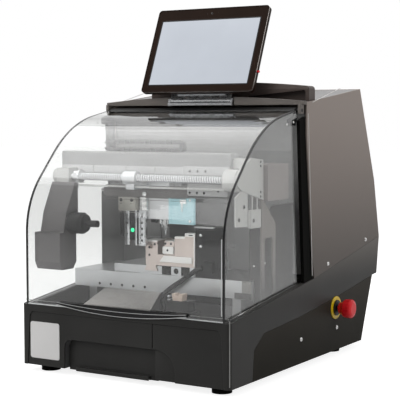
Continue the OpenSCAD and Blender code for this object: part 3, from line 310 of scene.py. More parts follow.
# %% Group: settled dust
dust, gi, go = group("settled_dust", [("Amount", "f", 0.3), ("Scale", "f", 120.0)], [("Mask", "f")])
geo, part, coords = node(dust, "NewGeometry"), node(dust, "SeparateXYZ"), node(dust, "TexCoord")
speck = node(dust, "TexNoise", {"Detail": 8.0, "Roughness": 0.7})
up = math_node(dust, "POWER", math_node(dust, "MAXIMUM", part.outputs["Z"], 0.0), 3.0)
spots = math_node(dust, "MULTIPLY", math_node(dust, "SUBTRACT", speck.outputs["Fac"], 0.42), 3.0, clamp=True)
mask = math_node(dust, "MULTIPLY", math_node(dust, "MULTIPLY", up, spots), gi.outputs["Amount"])
wire(dust, (geo.outputs["Normal"], part.inputs[0]), (coords.outputs["Object"], speck.inputs["Vector"]),
     (gi.outputs["Scale"], speck.inputs["Scale"]), (mask, go.inputs["Mask"]))
print("group:", dust.name)

# %% [markdown]
# One function builds an opaque finish from these groups. It mixes a dark and a light tone of the
# base colour by a cloud or by brushed lines, adds pale wear at edges and dust on top, can add a
# painted sheen that grows lighter with height, and drives roughness and bump from the same
# sources. What is even all over, such as the metal share, is set on the shader's own socket.

# %% Opaque finishes
def grey(level):
    return (level, level, level)


def tone_of(rgb, k):
    return tuple(min(1.0, c * k) for c in rgb) + (1.0,)


def blend(tree, a, b, fac):
    """Two colours, or sockets of colours, mixed by a socket."""
    mix = node(tree, "Mix", data_type="RGBA")
    for k, v in ((6, a), (7, b)):
        if isinstance(v, tuple):
            mix.inputs[k].default_value = v
        else:
            tree.links.new(v, mix.inputs[k])
    tree.links.new(fac, mix.inputs[0])
    return mix.outputs[2]


def finish(name, rgb, rough, metal=0.0, spread=0.12, bump=0.15, scale=900.0, along=None,
           wear=0.35, wear_rgb=grey(0.55), wear_width=0.0008, dusty=0.0,
           rise=None, spec=0.5, ior=1.5):
    """A material with grain or brushed lines, edge wear and dust."""
    m = bpy.data.materials.new(name)
    tree = empty_tree(m)
    out = node(tree, "OutputMaterial")
    bsdf = node(tree, "BsdfPrincipled", {"Metallic": metal, "Specular IOR Level": spec, "IOR": ior})
    if along is None:
        skin = node(tree, "Group", {"Scale": scale}, node_tree=grain)
    else:
        skin = node(tree, "Group", {"Scale": scale, "Along": along}, node_tree=brush)
    source, height = skin.outputs["Cloud" if along is None else "Tone"], skin.outputs["Height"]
    worn = node(tree, "Group", {"Width": wear_width, "Amount": wear}, node_tree=edge)
    settled = node(tree, "Group", {"Amount": dusty}, node_tree=dust)
    ramp = node(tree, "MapRange", {"From Min": 0.3, "From Max": 0.7})
    colour = blend(tree, tone_of(rgb, 1 - spread), tone_of(rgb, 1 + spread), ramp.outputs[0])
    if rise is not None:
        # painted sheen: the colour grows lighter with height, standing in for the broad reflection on a
        # satin panel
        low, high, top = rise
        where, split = node(tree, "TexCoord"), node(tree, "SeparateXYZ")
        painted_sheen_mask = node(tree, "MapRange", {"From Min": low, "From Max": high}, interpolation_type="SMOOTHSTEP")
        wire(tree, (where.outputs["Object"], split.inputs[0]), (split.outputs["Z"], painted_sheen_mask.inputs["Value"]))
        colour = blend(tree, colour, top + (1.0,), painted_sheen_mask.outputs[0])
    colour = blend(tree, colour, wear_rgb + (1.0,), worn.outputs["Mask"])
    colour = blend(tree, colour, (0.62, 0.61, 0.59, 1.0), settled.outputs["Mask"])
    level = node(tree, "MapRange", {"To Min": max(0.03, rough - 0.07), "To Max": min(1.0, rough + 0.09)})
    dull = math_node(tree, "MULTIPLY", settled.outputs["Mask"], 0.3)
    bumps = node(tree, "Bump", {"Strength": bump, "Distance": 0.0004})
    wire(tree, (bsdf.outputs[0], out.inputs["Surface"]), (source, ramp.inputs["Value"]),
         (colour, bsdf.inputs["Base Color"]), (height, level.inputs["Value"]),
         (math_node(tree, "ADD", level.outputs[0], dull, clamp=True), bsdf.inputs["Roughness"]),
         (height, bumps.inputs["Height"]), (worn.outputs["Normal"], bumps.inputs["Normal"]),
         (bumps.outputs[0], bsdf.inputs["Normal"]))
    return m


# hood: the pale colour at its edges is edge wear together with a painted highlight along the hood's edges
hood_paint = finish("hood_paint", (0.080, 0.062, 0.055), 0.40, bump=0.4, scale=1400, wear=0.15,
                    wear_rgb=(0.7, 0.66, 0.64), wear_width=0.0016, spec=0.3, ior=1.4)
# painted sheen: lighter between 0.15 and 0.27 metres up, standing in for a broad reflection
shell_paint = finish("shell_paint", (0.032, 0.0315, 0.030), 0.42, bump=0.5, scale=1400, wear=0.22,
                     wear_rgb=(0.30, 0.29, 0.285), wear_width=0.0018, dusty=0.04, spec=0.25, ior=1.35,
                     rise=(0.15, 0.27, (0.185, 0.168, 0.154)))
# painted sheen: lighter towards the top, standing in for a broad reflection on the housing sides
side_paint = finish("side_paint", (0.024, 0.021, 0.017), 0.42, bump=0.45, scale=1400, wear=0.12,
                    wear_rgb=(0.3, 0.28, 0.26), wear_width=0.0014, spec=0.3, ior=1.4,
                    rise=(0.02, 0.60, (0.36, 0.305, 0.275)))
# painted sheen: lighter towards the top, standing in for a broad reflection on the lower side plates
base_side_paint = finish("base_side_paint", (0.018, 0.016, 0.012), 0.42, bump=0.45, scale=1400,
                         wear=0.12, wear_rgb=(0.3, 0.28, 0.26), wear_width=0.0014, spec=0.08, ior=1.3,
                         rise=(0.03, 0.22, (0.060, 0.053, 0.045)))
black_plastic = finish("black_plastic", (0.010, 0.010, 0.010), 0.40, bump=0.2, scale=700, wear=0.12,
                       wear_rgb=grey(0.12), spec=0.3, ior=1.4)
rubber = finish("rubber", (0.006, 0.006, 0.0055), 0.72, bump=0.4, scale=500, wear=0.1,
                wear_rgb=grey(0.07), dusty=0.05, spec=0.1, ior=1.25)
chamber_paint = finish("chamber_paint", (0.20, 0.20, 0.197), 0.5, bump=0.3, scale=900, wear=0.2, dusty=0.1)
tray_paint = finish("tray_paint", (0.008, 0.008, 0.0075), 0.38, bump=0.3, scale=800, spec=0.08,
                    ior=1.35)
liner_paint = finish("liner_paint", (0.10, 0.10, 0.10), 0.55, bump=0.3, scale=900, wear=0.1)
sheet_metal = finish("sheet_metal", (0.30, 0.285, 0.27), 0.38, metal=0.6, along=(1, 12, 12), scale=90,
                     bump=0.12, dusty=0.35, wear_rgb=grey(0.8))
steel = finish("steel", (0.60, 0.61, 0.62), 0.24, metal=1.0, along=(8, 1, 8), scale=120, bump=0.08,
               wear_rgb=grey(0.85))
aluminium = finish("aluminium", (0.60, 0.61, 0.62), 0.36, metal=0.85, along=(1, 14, 14), scale=110,
                   bump=0.12, spread=0.08, wear_rgb=(0.85, 0.85, 0.86))
white_paint = finish("white_paint", (0.46, 0.46, 0.445), 0.35, bump=0.25, scale=900, spread=0.05,
                     wear=0.3, wear_rgb=grey(0.5), dusty=0.12)
motor_grey = finish("motor_grey", (0.24, 0.215, 0.205), 0.48, bump=0.4, scale=700)
clamp_steel = finish("clamp_steel", (0.62, 0.54, 0.50), 0.30, metal=0.8, along=(1, 10, 10), scale=140,
                     bump=0.1, spread=0.1, wear_rgb=(0.85, 0.82, 0.8))
zinc = finish("zinc", (0.75, 0.75, 0.74), 0.22, metal=1.0, along=(4, 4, 4), scale=200, bump=0.05)
display_plastic = finish("display_plastic", (0.020, 0.011, 0.0075), 0.30, bump=0.05, scale=500, wear=0.05,
                         spec=0.15, ior=1.25)
silver = finish("silver", (0.66, 0.67, 0.68), 0.26, metal=0.95, along=(1, 16, 16), scale=80, bump=0.08,
                wear_rgb=grey(0.9))
red_plastic = finish("red_plastic", (0.84, 0.012, 0.020), 0.34, bump=0.06, scale=300, spec=0.3,
                     wear_rgb=(0.8, 0.2, 0.18))
yellow_plastic = finish("yellow_plastic", (0.85, 0.60, 0.0), 0.35, bump=0.08, scale=300,
                        wear_rgb=(0.9, 0.8, 0.4))
plate_white = finish("plate_white", (0.80, 0.79, 0.78), 0.42, bump=0.04, scale=500, spread=0.03,
                     wear=0.2, wear_rgb=grey(0.6))
grey_cover = finish("grey_cover", (0.085, 0.08, 0.08), 0.45, bump=0.3, scale=800, wear=0.15)
beam_paint = finish("beam_paint", (0.23, 0.23, 0.23), 0.4, bump=0.25, scale=900, spread=0.05, wear=0.2,
                    dusty=0.1)
roof_paint = finish("roof_paint", (0.16, 0.155, 0.155), 0.34, bump=0.2, scale=1200, wear=0.1,
                    wear_rgb=grey(0.4))
print("opaque finishes:", len(bpy.data.materials) - 1)

# %% [markdown]
# Clear sheet is a solid slab of smoke-tinted acrylic. It bends and reflects light at both faces.
# For shadow rays alone it lets a tinted share straight through, as the real sheet does, so that the
# chamber is not left in the dark. A faint veil of wipe marks gives it a surface.

# %% Clear finishes
def clear(name, tint, shade, rough, veil, ior=1.49, scale=14.0, stretch=(1.0, 1.0, 0.25)):
    """Tinted transparent sheet with wipe marks."""
    m = bpy.data.materials.new(name)
    tree = empty_tree(m)
    out = node(tree, "OutputMaterial")
    bsdf = node(tree, "BsdfPrincipled", {"Transmission Weight": 1.0, "Metallic": 0.0, "IOR": ior})
    wipes = node(tree, "Group", {"Scale": scale, "Along": stretch}, node_tree=brush)
    level = node(tree, "MapRange", {"From Min": 0.35, "From Max": 0.75, "To Min": rough,
                                    "To Max": rough + veil})
    hue = blend(tree, tuple(tint) + (1.0,), tone_of(tint, 1.04), wipes.outputs["Tone"])
    through = node(tree, "BsdfTransparent", {"Color": (shade, shade, shade, 1.0)})
    path, mix = node(tree, "LightPath"), node(tree, "MixShader")
    wire(tree, (wipes.outputs["Tone"], level.inputs["Value"]), (level.outputs[0], bsdf.inputs["Roughness"]),
         (hue, bsdf.inputs["Base Color"]), (path.outputs["Is Shadow Ray"], mix.inputs["Fac"]),
         (bsdf.outputs[0], mix.inputs[1]), (through.outputs[0], mix.inputs[2]),
         (mix.outputs[0], out.inputs["Surface"]))
    return m


clear_sheet = clear("clear_sheet", (0.86, 0.865, 0.86), 0.88, 0.0, 0.03)
lens_glass = clear("lens_glass", (0.55, 0.62, 0.75), 0.5, 0.0, 0.01, ior=1.6, scale=60)
print("clear:", clear_sheet.name, lens_glass.name)

# %% [markdown]
# Lamps, the lit picture area and the lit panel send light of their own. Each has a small pattern in
# it, a slight change of tone across the face, so that none is a flat patch.

# %% Lit finishes
def lit(name, rgb, power, base, scale, stretch, spread=0.06):
    """A surface that gives light, with a faint pattern across it."""
    m = bpy.data.materials.new(name)
    tree = empty_tree(m)
    out = node(tree, "OutputMaterial")
    bsdf = node(tree, "BsdfPrincipled", {"Emission Strength": power, "Roughness": 0.3})
    rows = node(tree, "Group", {"Scale": scale, "Along": stretch}, node_tree=brush)
    for socket, colour in (("Emission Color", rgb), ("Base Color", base)):
        mixed = blend(tree, tone_of(colour, 1 - spread), tone_of(colour, 1 + spread), rows.outputs["Tone"])
        wire(tree, (mixed, bsdf.inputs[socket]))
    wire(tree, (bsdf.outputs[0], out.inputs["Surface"]))
    return m


screen_light = lit("screen_light", (0.56, 0.60, 0.66), 0.92, (0.02, 0.02, 0.025), 6.0, (1, 1, 1))
panel_light = lit("panel_light", (0.16, 0.30, 0.33), 0.9, (0.25, 0.34, 0.36), 20.0, (1, 1, 2), 0.2)
green_light = lit("green_light", (0.02, 0.9, 0.35), 1.6, (0.02, 0.3, 0.12), 40.0, (1, 1, 1))
print("lit:", screen_light.name, panel_light.name)

# %% [markdown]
# Every solid of the machine gets one finish. Large painted plates take textured paint, the moving
# mechanism takes ground steel and brushed aluminium, and what is touched is moulded plastic.

# %% Dress the solids
DRESS = {
    shell_paint: "base_shell floor_pan front_panel_left front_panel_right front_trim drawer_front "
                 "side_pillar",
    hood_paint: "top_hood",
    roof_paint: "housing_top_cover",
    beam_paint: "gantry_beam",
    base_side_paint: "side_plate_right side_plate_left",
    side_paint: "housing_side_right housing_side_left housing_back_panel",
    liner_paint: "recess_liner",
    black_plastic: "cable_chain power_inlet fan_grille probe_plate shield_hinge_arms shield_grip "
                   "power_rocker estop_plunger reader_lens",
    grey_cover: "reader_cover",
    display_plastic: "tablet_case tablet_screen",
    rubber: "rubber_feet seal_strip_right seal_strip_left probe_lead",
    chamber_paint: "chamber_back_wall",
    sheet_metal: "chip_chute",
    tray_paint: "chamber_tray drawer_box",
    steel: "x_rail x_screw cutter tracer table_screw clamp_screw",
    aluminium: "machine_table spindle_head x_carriage",
    silver: "tablet_mount tablet_bracket",
    white_paint: "gantry_end_right gantry_end_left",
    motor_grey: "screw_motor",
    clear_sheet: "shield_side_right shield_side_left shield_front",
    clamp_steel: "clamp_slide clamp_jaw",
    zinc: "body_screws",
    red_plastic: "tablet_button estop_head",
    yellow_plastic: "estop_collar",
    plate_white: "name_plate",
}


dressed = 0
for finish_used, names in DRESS.items():
    for name in names.split():
        obj = nodes[name]
        for slot in obj.material_slots:
            slot.material = finish_used
        dressed += 1
left = [n for n, o in nodes.items() if not any(n in v.split() for v in DRESS.values())]
print("dressed", dressed, "left:", left)

# %% [markdown]
# The small pieces are built from three forms. A turned piece is a profile spun about an axis. A
# swept piece is a section drawn along a path. A plate is an outline raised to a thickness, with
# its edges rounded by a real bevel. Each is placed by the machine's own measures.

# %% Mesh tools
FRONT, BACK, RIGHT, UP = (0, -1, 0), (0, 1, 0), (1, 0, 0), (0, 0, 1)


def place(bm, name, body, slot_name, material, angle=35.0):
    """Makes a piece of a bmesh whose points are in millimetres, and joins it to its body."""
    bmesh.ops.remove_doubles(bm, verts=bm.verts, dist=1e-5)
    bmesh.ops.recalc_face_normals(bm, faces=bm.faces)
    limit = math.radians(angle)
    for f in bm.faces:
        f.smooth = True
    for e in bm.edges:
        e.smooth = len(e.link_faces) == 2 and e.calc_face_angle(0.0) < limit
    for v in bm.verts:
        v.co = at(*v.co)
    mesh = bpy.data.meshes.new(name)
    bm.to_mesh(mesh)
    bm.free()
    mesh.materials.append(material)
    piece = linked(name, mesh)
    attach(piece, body)
    return piece


def axes(direction):
    """Three directions, the first along the given one."""
    a = Vector(direction).normalized()
    helper = Vector(UP) if abs(a.z) < 0.9 else Vector(BACK)
    b = a.cross(helper).normalized()
    return a, b, a.cross(b)


def skin(bm, rings, caps=True):
    """Joins rings of points with faces; a ring of one point is a tip."""
    for lo, hi in zip(rings, rings[1:]):
        count = max(len(lo), len(hi))
        for k in range(count):
            m = (k + 1) % count
            if len(lo) == 1:
                bm.faces.new((lo[0], hi[k], hi[m]))
            elif len(hi) == 1:
                bm.faces.new((lo[k], lo[m], hi[0]))
            else:
                bm.faces.new((lo[k], lo[m], hi[m], hi[k]))
    if caps:
        bm.faces.new(list(reversed(rings[0])))
        bm.faces.new(rings[-1])
    return rings


def turned(bm, origin, direction, profile, sides=32):
    """Spins a profile of (along, radius) about an axis; radius 0 closes it."""
    a, b, c = axes(direction)
    rings = []
    for t, r in profile:
        mid = Vector(origin) + a * t
        turns = [2 * math.pi * k / sides for k in range(sides)] if r > 0 else []
        rings.append([bm.verts.new(mid + (b * math.cos(w) + c * math.sin(w)) * r) for w in turns]
                     or [bm.verts.new(mid)])
    return skin(bm, rings, caps=False)


def raised(bm, outline, base, direction, up, depth, soft=0.0, segments=2):
    """Raises an outline of (across, up) points from a base point by a depth along a direction."""
    n = Vector(direction).normalized()
    v_up = Vector(up).normalized()
    side = v_up.cross(n).normalized()
    front = [bm.verts.new(Vector(base) + side * p[0] + v_up * p[1]) for p in outline]
    rear = [bm.verts.new(v.co + n * depth) for v in front]
    count = len(outline)
    faces = [bm.faces.new(front), bm.faces.new(list(reversed(rear)))]
    for k in range(count):
        m = (k + 1) % count
        faces.append(bm.faces.new((front[k], rear[k], rear[m], front[m])))
    if soft > 0:
        bmesh.ops.bevel(bm, geom=list(faces[1].edges), offset=soft, segments=segments, profile=0.5,
                        affect="EDGES", clamp_overlap=True)
    return faces


def soft_rect(w, h, r, steps=5):
    """Outline of a rectangle about its middle with round corners."""
    pts = []
    for cx, cy, start in ((w / 2 - r, h / 2 - r, 0), (r - w / 2, h / 2 - r, 90),
                          (r - w / 2, r - h / 2, 180), (w / 2 - r, r - h / 2, 270)):
        for k in range(steps + 1):
            a = math.radians(start + 90 * k / steps)
            pts.append((cx + r * math.cos(a), cy + r * math.sin(a)))
    return pts


def swept(bm, path, section):
    """Draws a section of (across, up) along a path, given with its two section directions."""
    return skin(bm, [[bm.verts.new(Vector(point) + Vector(across) * s[0] + Vector(up) * s[1])
                      for s in section] for point, across, up in path])


def tube(bm, points, radius, sides=10):
    """A round wire through points, with its ends closed."""
    pts = [Vector(p) for p in points]
    path = []
    for i, p in enumerate(pts):
        d = (pts[min(i + 1, len(pts) - 1)] - pts[max(i - 1, 0)]).normalized()
        helper = Vector(UP) if abs(d.z) < 0.95 else Vector(RIGHT)
        a = d.cross(helper).normalized()
        path.append((p, a, a.cross(d)))
    ring = [(radius * math.cos(2 * math.pi * k / sides), radius * math.sin(2 * math.pi * k / sides))
            for k in range(sides)]
    swept(bm, path, ring)


def curve_through(points, steps=8):
    """Points of a smooth curve through the given ones."""
    pts = [Vector(p) for p in points]
    out = []
    for i in range(len(pts) - 1):
        p0, p1, p2, p3 = pts[max(i - 1, 0)], pts[i], pts[i + 1], pts[min(i + 2, len(pts) - 1)]
        for k in range(steps):
            t = k / steps
            out.append(0.5 * ((2 * p1) + (p2 - p0) * t + (2 * p0 - 5 * p1 + 4 * p2 - p3) * t * t
                              + (3 * p1 - p0 - 3 * p2 + p3) * t ** 3))
    out.append(pts[-1])
    return out


def turned_at(bm, places, direction, profile, sides):
    """The same turned piece at several places."""
    for origin in places:
        turned(bm, origin, direction, profile, sides)


def socket_screw(bm, origin, direction, radius, height, sides=24):
    """A screw head with a domed rim and a six-sided recess."""
    rim = radius * 0.18
    hex_r = radius * 0.52
    a, b, c = axes(direction)
    profile = [(0, radius), (height - rim, radius), (height - rim * 0.3, radius - rim * 0.3),
               (height, radius - rim), (height, hex_r * 1.12)]
    rings = turned(bm, origin, direction, profile, sides)
    flat = [bm.verts.new(Vector(origin) + a * height
                         + (b * math.cos(math.pi * k / 3) + c * math.sin(math.pi * k / 3)) * hex_r)
            for k in range(6)]
    deep = [bm.verts.new(v.co - a * height * 0.7) for v in flat]
    outer = rings[-1]
    per = sides // 6
    for k in range(6):
        m = (k + 1) % 6
        run = [outer[(k * per + j) % sides] for j in range(per + 1)]
        bm.faces.new(run + [flat[m], flat[k]])
        bm.faces.new((flat[k], flat[m], deep[m], deep[k]))
    bm.faces.new(deep)
    bm.faces.new(list(reversed(rings[0])))


print("mesh tools ready")

# %% [markdown]
# The gantry screw is a ball screw: a bar with one rounded groove that winds along it, in which
# balls carry the nut with little friction. Here the groove is cut into the bar's surface by its
# radius, which falls and rises once in each turn of 5.6 millimetres, so it is a true thread. The
# piece stands for the plain bar and turns with it. The joint moves the carriage 5 millimetres in a
# turn, so the groove and the nut drift 0.6 millimetres apart in each turn.

# %% Gantry screw
SCREW_Y, SCREW_Z = 100.0, 388.0
PITCH = 5.6


def threaded(bm, x0, x1, y, z, r, depth, pitch, sides=18, per_turn=6):
    """A bar along X whose radius falls in a helical groove."""
    n = int((x1 - x0) / pitch * per_turn)
    rings = []
    for i in range(n + 1):
        x = x0 + (x1 - x0) * i / n
        ring = []
        for k in range(sides):
            a = 2 * math.pi * k / sides
            phase = (x / pitch - k / sides) % 1.0
            cut = max(0.0, math.cos(2 * math.pi * phase) + 0.25) / 1.25
            fade = min(1.0, (x - x0) / 4.0, (x1 - x) / 4.0)
            rr = r - depth * cut * fade
            ring.append(bm.verts.new((x, y + rr * math.cos(a), z + rr * math.sin(a))))
        rings.append(ring)
    skin(bm, rings)


lo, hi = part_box("x_screw")
print("x_screw box:", [round(v, 4) for v in lo], [round(v, 4) for v in hi])
bm = bmesh.new()
threaded(bm, -165.0, 186.0, SCREW_Y, SCREW_Z, 8.0, 2.0, PITCH)
turned(bm, (-219, SCREW_Y, SCREW_Z), RIGHT,
       [(0, 0), (0, 7.4), (0.6, 8), (35.4, 8), (36, 7.6), (36, 11), (36.8, 12), (47.2, 12), (48, 13),
        (48.6, 14), (51.4, 14), (52, 13.4), (52, 8), (54, 8), (54, 0)], 36)
turned(bm, (186, SCREW_Y, SCREW_Z), RIGHT, [(0, 0), (0, 8), (15.5, 8), (16, 7.5), (16, 0)], 24)
screw = place(bm, "x_screw_thread", "gantry_screw", "steel", steel, 50)
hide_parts("x_screw")

# A dark wire laid along the groove is painted shade in the groove.
groove_painted_shade = finish("groove_painted_shade", (0.09, 0.09, 0.09), 0.45, metal=0.5, bump=0.05, scale=400, wear=0.0)
bm = bmesh.new()
path = []
for i in range(int(346 / PITCH * 14)):
    x = -163.0 + PITCH * i / 14
    a = 2 * math.pi * x / PITCH
    path.append((x, SCREW_Y + 6.55 * math.cos(a), SCREW_Z + 6.55 * math.sin(a)))
tube(bm, path, 1.0, 5)
place(bm, "x_screw_groove_shade", "gantry_screw", "steel", groove_painted_shade, 60)
print("gantry screw:", len(screw.data.polygons), "faces")

# %% [markdown]
# The clear front and the two clear sides meet along the profile of the dome. The joint is a thin
# black line of cement and edge trim. Its path is the outer profile itself: an upright run, a bend,
# a straight slope, a wider bend, and the flat roof.

# %% Profile of the shield
LOW_R, TOP_R, SLOPE, TOP_SLOPE, RUN = 167.5, 262.0, 47.0, 10.6, 67.4
START_Z, END_Y, SHIELD_FOOT = 273.8, 290.0, 128.5
BENDS = 14


def bend_point(centre, r, degrees):
    a = math.radians(degrees)
    out = (-math.sin(a), math.cos(a))
    return (centre[0] + r * out[0], centre[1] + r * out[1], out)


def shield_profile(t):
    """Points (y, z, outward normal) of the dome at depth t below its outer face."""
    low = (LOW_R, START_Z)
    s = math.radians(SLOPE)
    top = (low[0] - LOW_R * math.sin(s) + RUN * math.cos(s) + TOP_R * math.sin(s),
           low[1] + LOW_R * math.cos(s) + RUN * math.sin(s) - TOP_R * math.cos(s))
    pts = [(t, SHIELD_FOOT, (-1.0, 0.0))]
    pts += [bend_point(low, LOW_R - t, 90 - (90 - SLOPE) * k / BENDS) for k in range(BENDS + 1)]
    pts += [bend_point(top, TOP_R - t, SLOPE - (SLOPE - TOP_SLOPE) * k / BENDS)
            for k in range(BENDS + 1)]
    y, z, out = pts[-1]
    pts.append((END_Y, z + (END_Y - y) * math.tan(math.radians(TOP_SLOPE)), out))
    return pts


# %% [markdown]
# The trim is a flat black section drawn along that profile at each side. It stands a fifth of a
# millimetre proud, enough to catch a line of light. The lower edge of the front sheet gets a thin
# pale strip: partly the frosted pale tone of a sawn acrylic edge, partly a painted highlight of the
# light that this edge catches.

# %% Edges of the shield
edge_black = finish("edge_black", (0.006, 0.006, 0.007), 0.30, bump=0.03, scale=300, wear=0.0)
# pale lower edge: the frosted tone of sawn acrylic together with a painted highlight
sawn_edge_highlight = finish("sawn_edge_highlight", (0.62, 0.64, 0.64), 0.45, bump=0.2, scale=500, wear=0.2)
for side, x_out in (("right", 238.0), ("left", -238.0)):
    inward = -1.0 if x_out > 0 else 1.0
    path = [((x_out, y, z), (inward, 0, 0), (0, n[0], n[1])) for y, z, n in shield_profile(0.0)]
    bm = bmesh.new()
    swept(bm, path, [(-0.15, -2.6), (3.9, -2.6), (3.9, 0.0), (3.7, 0.2), (0.1, 0.2), (-0.15, 0.0)])
    piece = place(bm, "shield_trim_" + side, "shield", "dark_plastic", edge_black, 40)
    print(piece.name, len(piece.data.polygons), "faces")

bm = bmesh.new()
raised(bm, soft_rect(468, 1.4, 0.6), (0, 4.05, 128.1), FRONT, UP, 4.0, 0.2)
place(bm, "shield_sawn_edge", "shield", "clear_sheet", sawn_edge_highlight)
print("lower edge placed")

# %% [markdown]
# The shield panels are held to the hinge arms and to each other by small screws with bright domed
# heads, near the upper corners of each side.

# %% Screws of the shield
bm = bmesh.new()
for y, z in ((252, 498), (281, 502)):
    for x, d in ((237.9, 1), (-237.9, -1)):
        turned(bm, (x, y, z), (d, 0, 0), [(0, 0), (0, 2.7), (0.3, 2.7), (0.9, 2.2), (1.2, 1.3), (1.2, 0.9),
                                          (0.7, 0.7), (0.7, 0)], 18)
place(bm, "shield_screws", "shield", "zinc", zinc, 50)
print("shield screws placed")

# %% [markdown]
# The display leans back, so its pieces are placed in its own measures: across, out of the face
# (negative) and up from the tilt axis. The glass front carries a lit picture area with a thin dark
# border. The picture is bare, only a soft glow, and a small ring marks the camera above it.

# %% Display measures
TILT = Vector((0, 306, 548))
LEAN = Matrix.Rotation(math.radians(-23.1), 4, "X")
FACE, MID_UP, LIT_UP = -29.9, 108.4, 102.8
LIT_W, LIT_H, TAB_W, TAB_H = 247.0, 153.0, 281.0, 200.5


def on_display(bm):
    """Turns points given in the display's own measures into the machine's."""
    for v in bm.verts:
        v.co = TILT + LEAN @ v.co


def ring_band(bm, middle, loops):
    """A band through rings, each an outline about a middle height and its own depth."""
    skin(bm, [[bm.verts.new((x, y, middle + z)) for x, z in outline] for outline, y in loops], caps=False)


# %% Lit picture area
bm = bmesh.new()
raised(bm, soft_rect(LIT_W, LIT_H, 0.8), (0, FACE + 0.08, LIT_UP), FRONT, UP, 0.16, 0.05)
on_display(bm)
place(bm, "display_picture", "display", "display_glass", screen_light)

screen_border = finish("screen_border", (0.004, 0.004, 0.005), 0.10, bump=0.01, scale=200, wear=0.0)
bm = bmesh.new()
outer = soft_rect(LIT_W + 5, LIT_H + 5, 3)
inner = soft_rect(LIT_W, LIT_H, 0.8)
ring_band(bm, LIT_UP, ((outer, FACE + 0.45), (outer, FACE + 0.2), (inner, FACE + 0.2), (inner, FACE + 0.45)))
on_display(bm)
place(bm, "display_border", "display", "display_glass", screen_border)
print("picture area", LIT_W, "x", LIT_H, "mm")

# %% [markdown]
# A glossy black display shows its maker's care at the rim: a thin bright chamfer runs round the
# glass. It is a narrow ring with a sloping face, which reflects the sky on one side and the floor
# on the other. A camera ring with a dot on each side of it sits in the upper border, and two more
# dots in the lower one.

# %% Rim and camera
rim_metal = finish("rim_metal", (0.34, 0.31, 0.29), 0.22, metal=0.9, along=(1, 10, 10), scale=60,
                   bump=0.05, wear_rgb=(0.8, 0.78, 0.75))
bm = bmesh.new()
outer = soft_rect(TAB_W + 0.5, TAB_H + 0.5, 8.2, 8)
inner = soft_rect(TAB_W - 2.0, TAB_H - 2.0, 7.0, 8)
ring_band(bm, MID_UP, ((outer, FACE + 2.4), (outer, FACE + 0.5), (inner, FACE), (inner, FACE + 0.5)))
on_display(bm)
place(bm, "display_rim", "display", "display_plastic", rim_metal)

bm = bmesh.new()
turned(bm, (0, FACE + 0.45, 195), FRONT, [(0, 0), (0, 2.4), (0.35, 2.4), (0.45, 1.9), (0.2, 1.6),
                                             (0.2, 0)], 24)
turned_at(bm, [(x, FACE + 0.45, z) for x, z in ((-14, 195), (14, 195), (31, 13.5), (46, 13.5))], FRONT,
          [(0, 0), (0, 0.9), (0.3, 0.7), (0.3, 0)], 14)
on_display(bm)
place(bm, "display_camera", "display", "display_glass", lens_glass)
print("rim and camera placed")

# %% [markdown]
# The rear case of the display has a field of cooling slots, drawn as thin dark bars that are
# painted shade in the openings, and is closed by four screws near its corners. This side is not
# known, so it has only what such a case needs.

# %% Back of the display
lo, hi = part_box("tablet_case")
print("display case:", [round(v * 1000, 1) for v in (hi - lo)])
bm = bmesh.new()
# dark bars: painted shade standing for the slot openings
for row in range(7):
    for col in (-1, 1):
        raised(bm, soft_rect(46, 2.2, 1.05, 4), (col * 30.0, FACE + 26.8, 90 + row * 6.0), BACK,
               UP, 0.45)
on_display(bm)
place(bm, "display_vent_shades", "display", "display_plastic", rubber)
bm = bmesh.new()
for x in (-120, 120):
    for z in (22, 188):
        socket_screw(bm, (x, FACE + 19.9, z), BACK, 2.6, 0.9, 18)
on_display(bm)
place(bm, "display_screws", "display", "zinc", zinc, 50)
print("vents and screws placed")

# %% [markdown]
# The carriage is the busiest part of the mechanism: a slider on the rail, a dark pressed cover, and
# a measuring head of plates, rails and a small cylinder hung below it. It is rebuilt here from
# plates with rounded edges, because a reader looks straight at it through the shield. The solids
# stay behind it for collision.

# %% A plate that faces the front
def front_plate(bm, x0, x1, z0, z1, y_face, y_back, corner=0.6, soft=0.4):
    """A block with rounded corners and a soft front edge, given by its sides in millimetres."""
    raised(bm, soft_rect(x1 - x0, z1 - z0, corner), ((x0 + x1) / 2, y_back, (z0 + z1) / 2),
           FRONT, UP, y_back - y_face, soft)


def front_plates(bm, *rows):
    """Several such blocks, each given by a row of its measures."""
    for row in rows:
        front_plate(bm, *row)


cover_grey = finish("cover_grey", (0.16, 0.15, 0.145), 0.32, bump=0.15, scale=700, wear=0.15)
head_plate_grey = finish("head_plate_grey", (0.40, 0.39, 0.35), 0.36, metal=0.5, along=(1, 12, 12),
                         scale=120, bump=0.1)
bm = bmesh.new()
front_plates(bm, (-75, -5, 386, 408.5, 146.6, 152, 1, 0.6), (-75, 20, 369, 408.5, 150.4, 168, 1, 0.6),
             (-60, 20, 300, 369, 160, 168, 1, 0.6), (-25.5, -10.5, 300, 408, 166, 171.8, 1, 0.3),
             (-50, -30, 364, 376, 94, 151, 1, 0.5))
turned(bm, (-56, 100, 388), RIGHT, [(0, 8.2), (0, 13), (1, 14), (31, 14), (32, 13), (32, 8.2), (0, 8.2)], 40)
frame_piece = place(bm, "carriage_frame", "carriage", "aluminium", aluminium)
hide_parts("x_carriage")

bm = bmesh.new()
front_plate(bm, -147, 67, 344, 369, 150, 168, 8.5, 1.2)
place(bm, "carriage_cover", "carriage", "aluminium", cover_grey)
print("carriage frame and cover placed")

# %% [markdown]
# Below the cover hangs the measuring head. Its clamp plate is brushed, with two black screws; two
# ground rails and a dark slot with a green ready lamp run down from it; beside them stands a small
# chromed cylinder with a banded body and a slim rod.

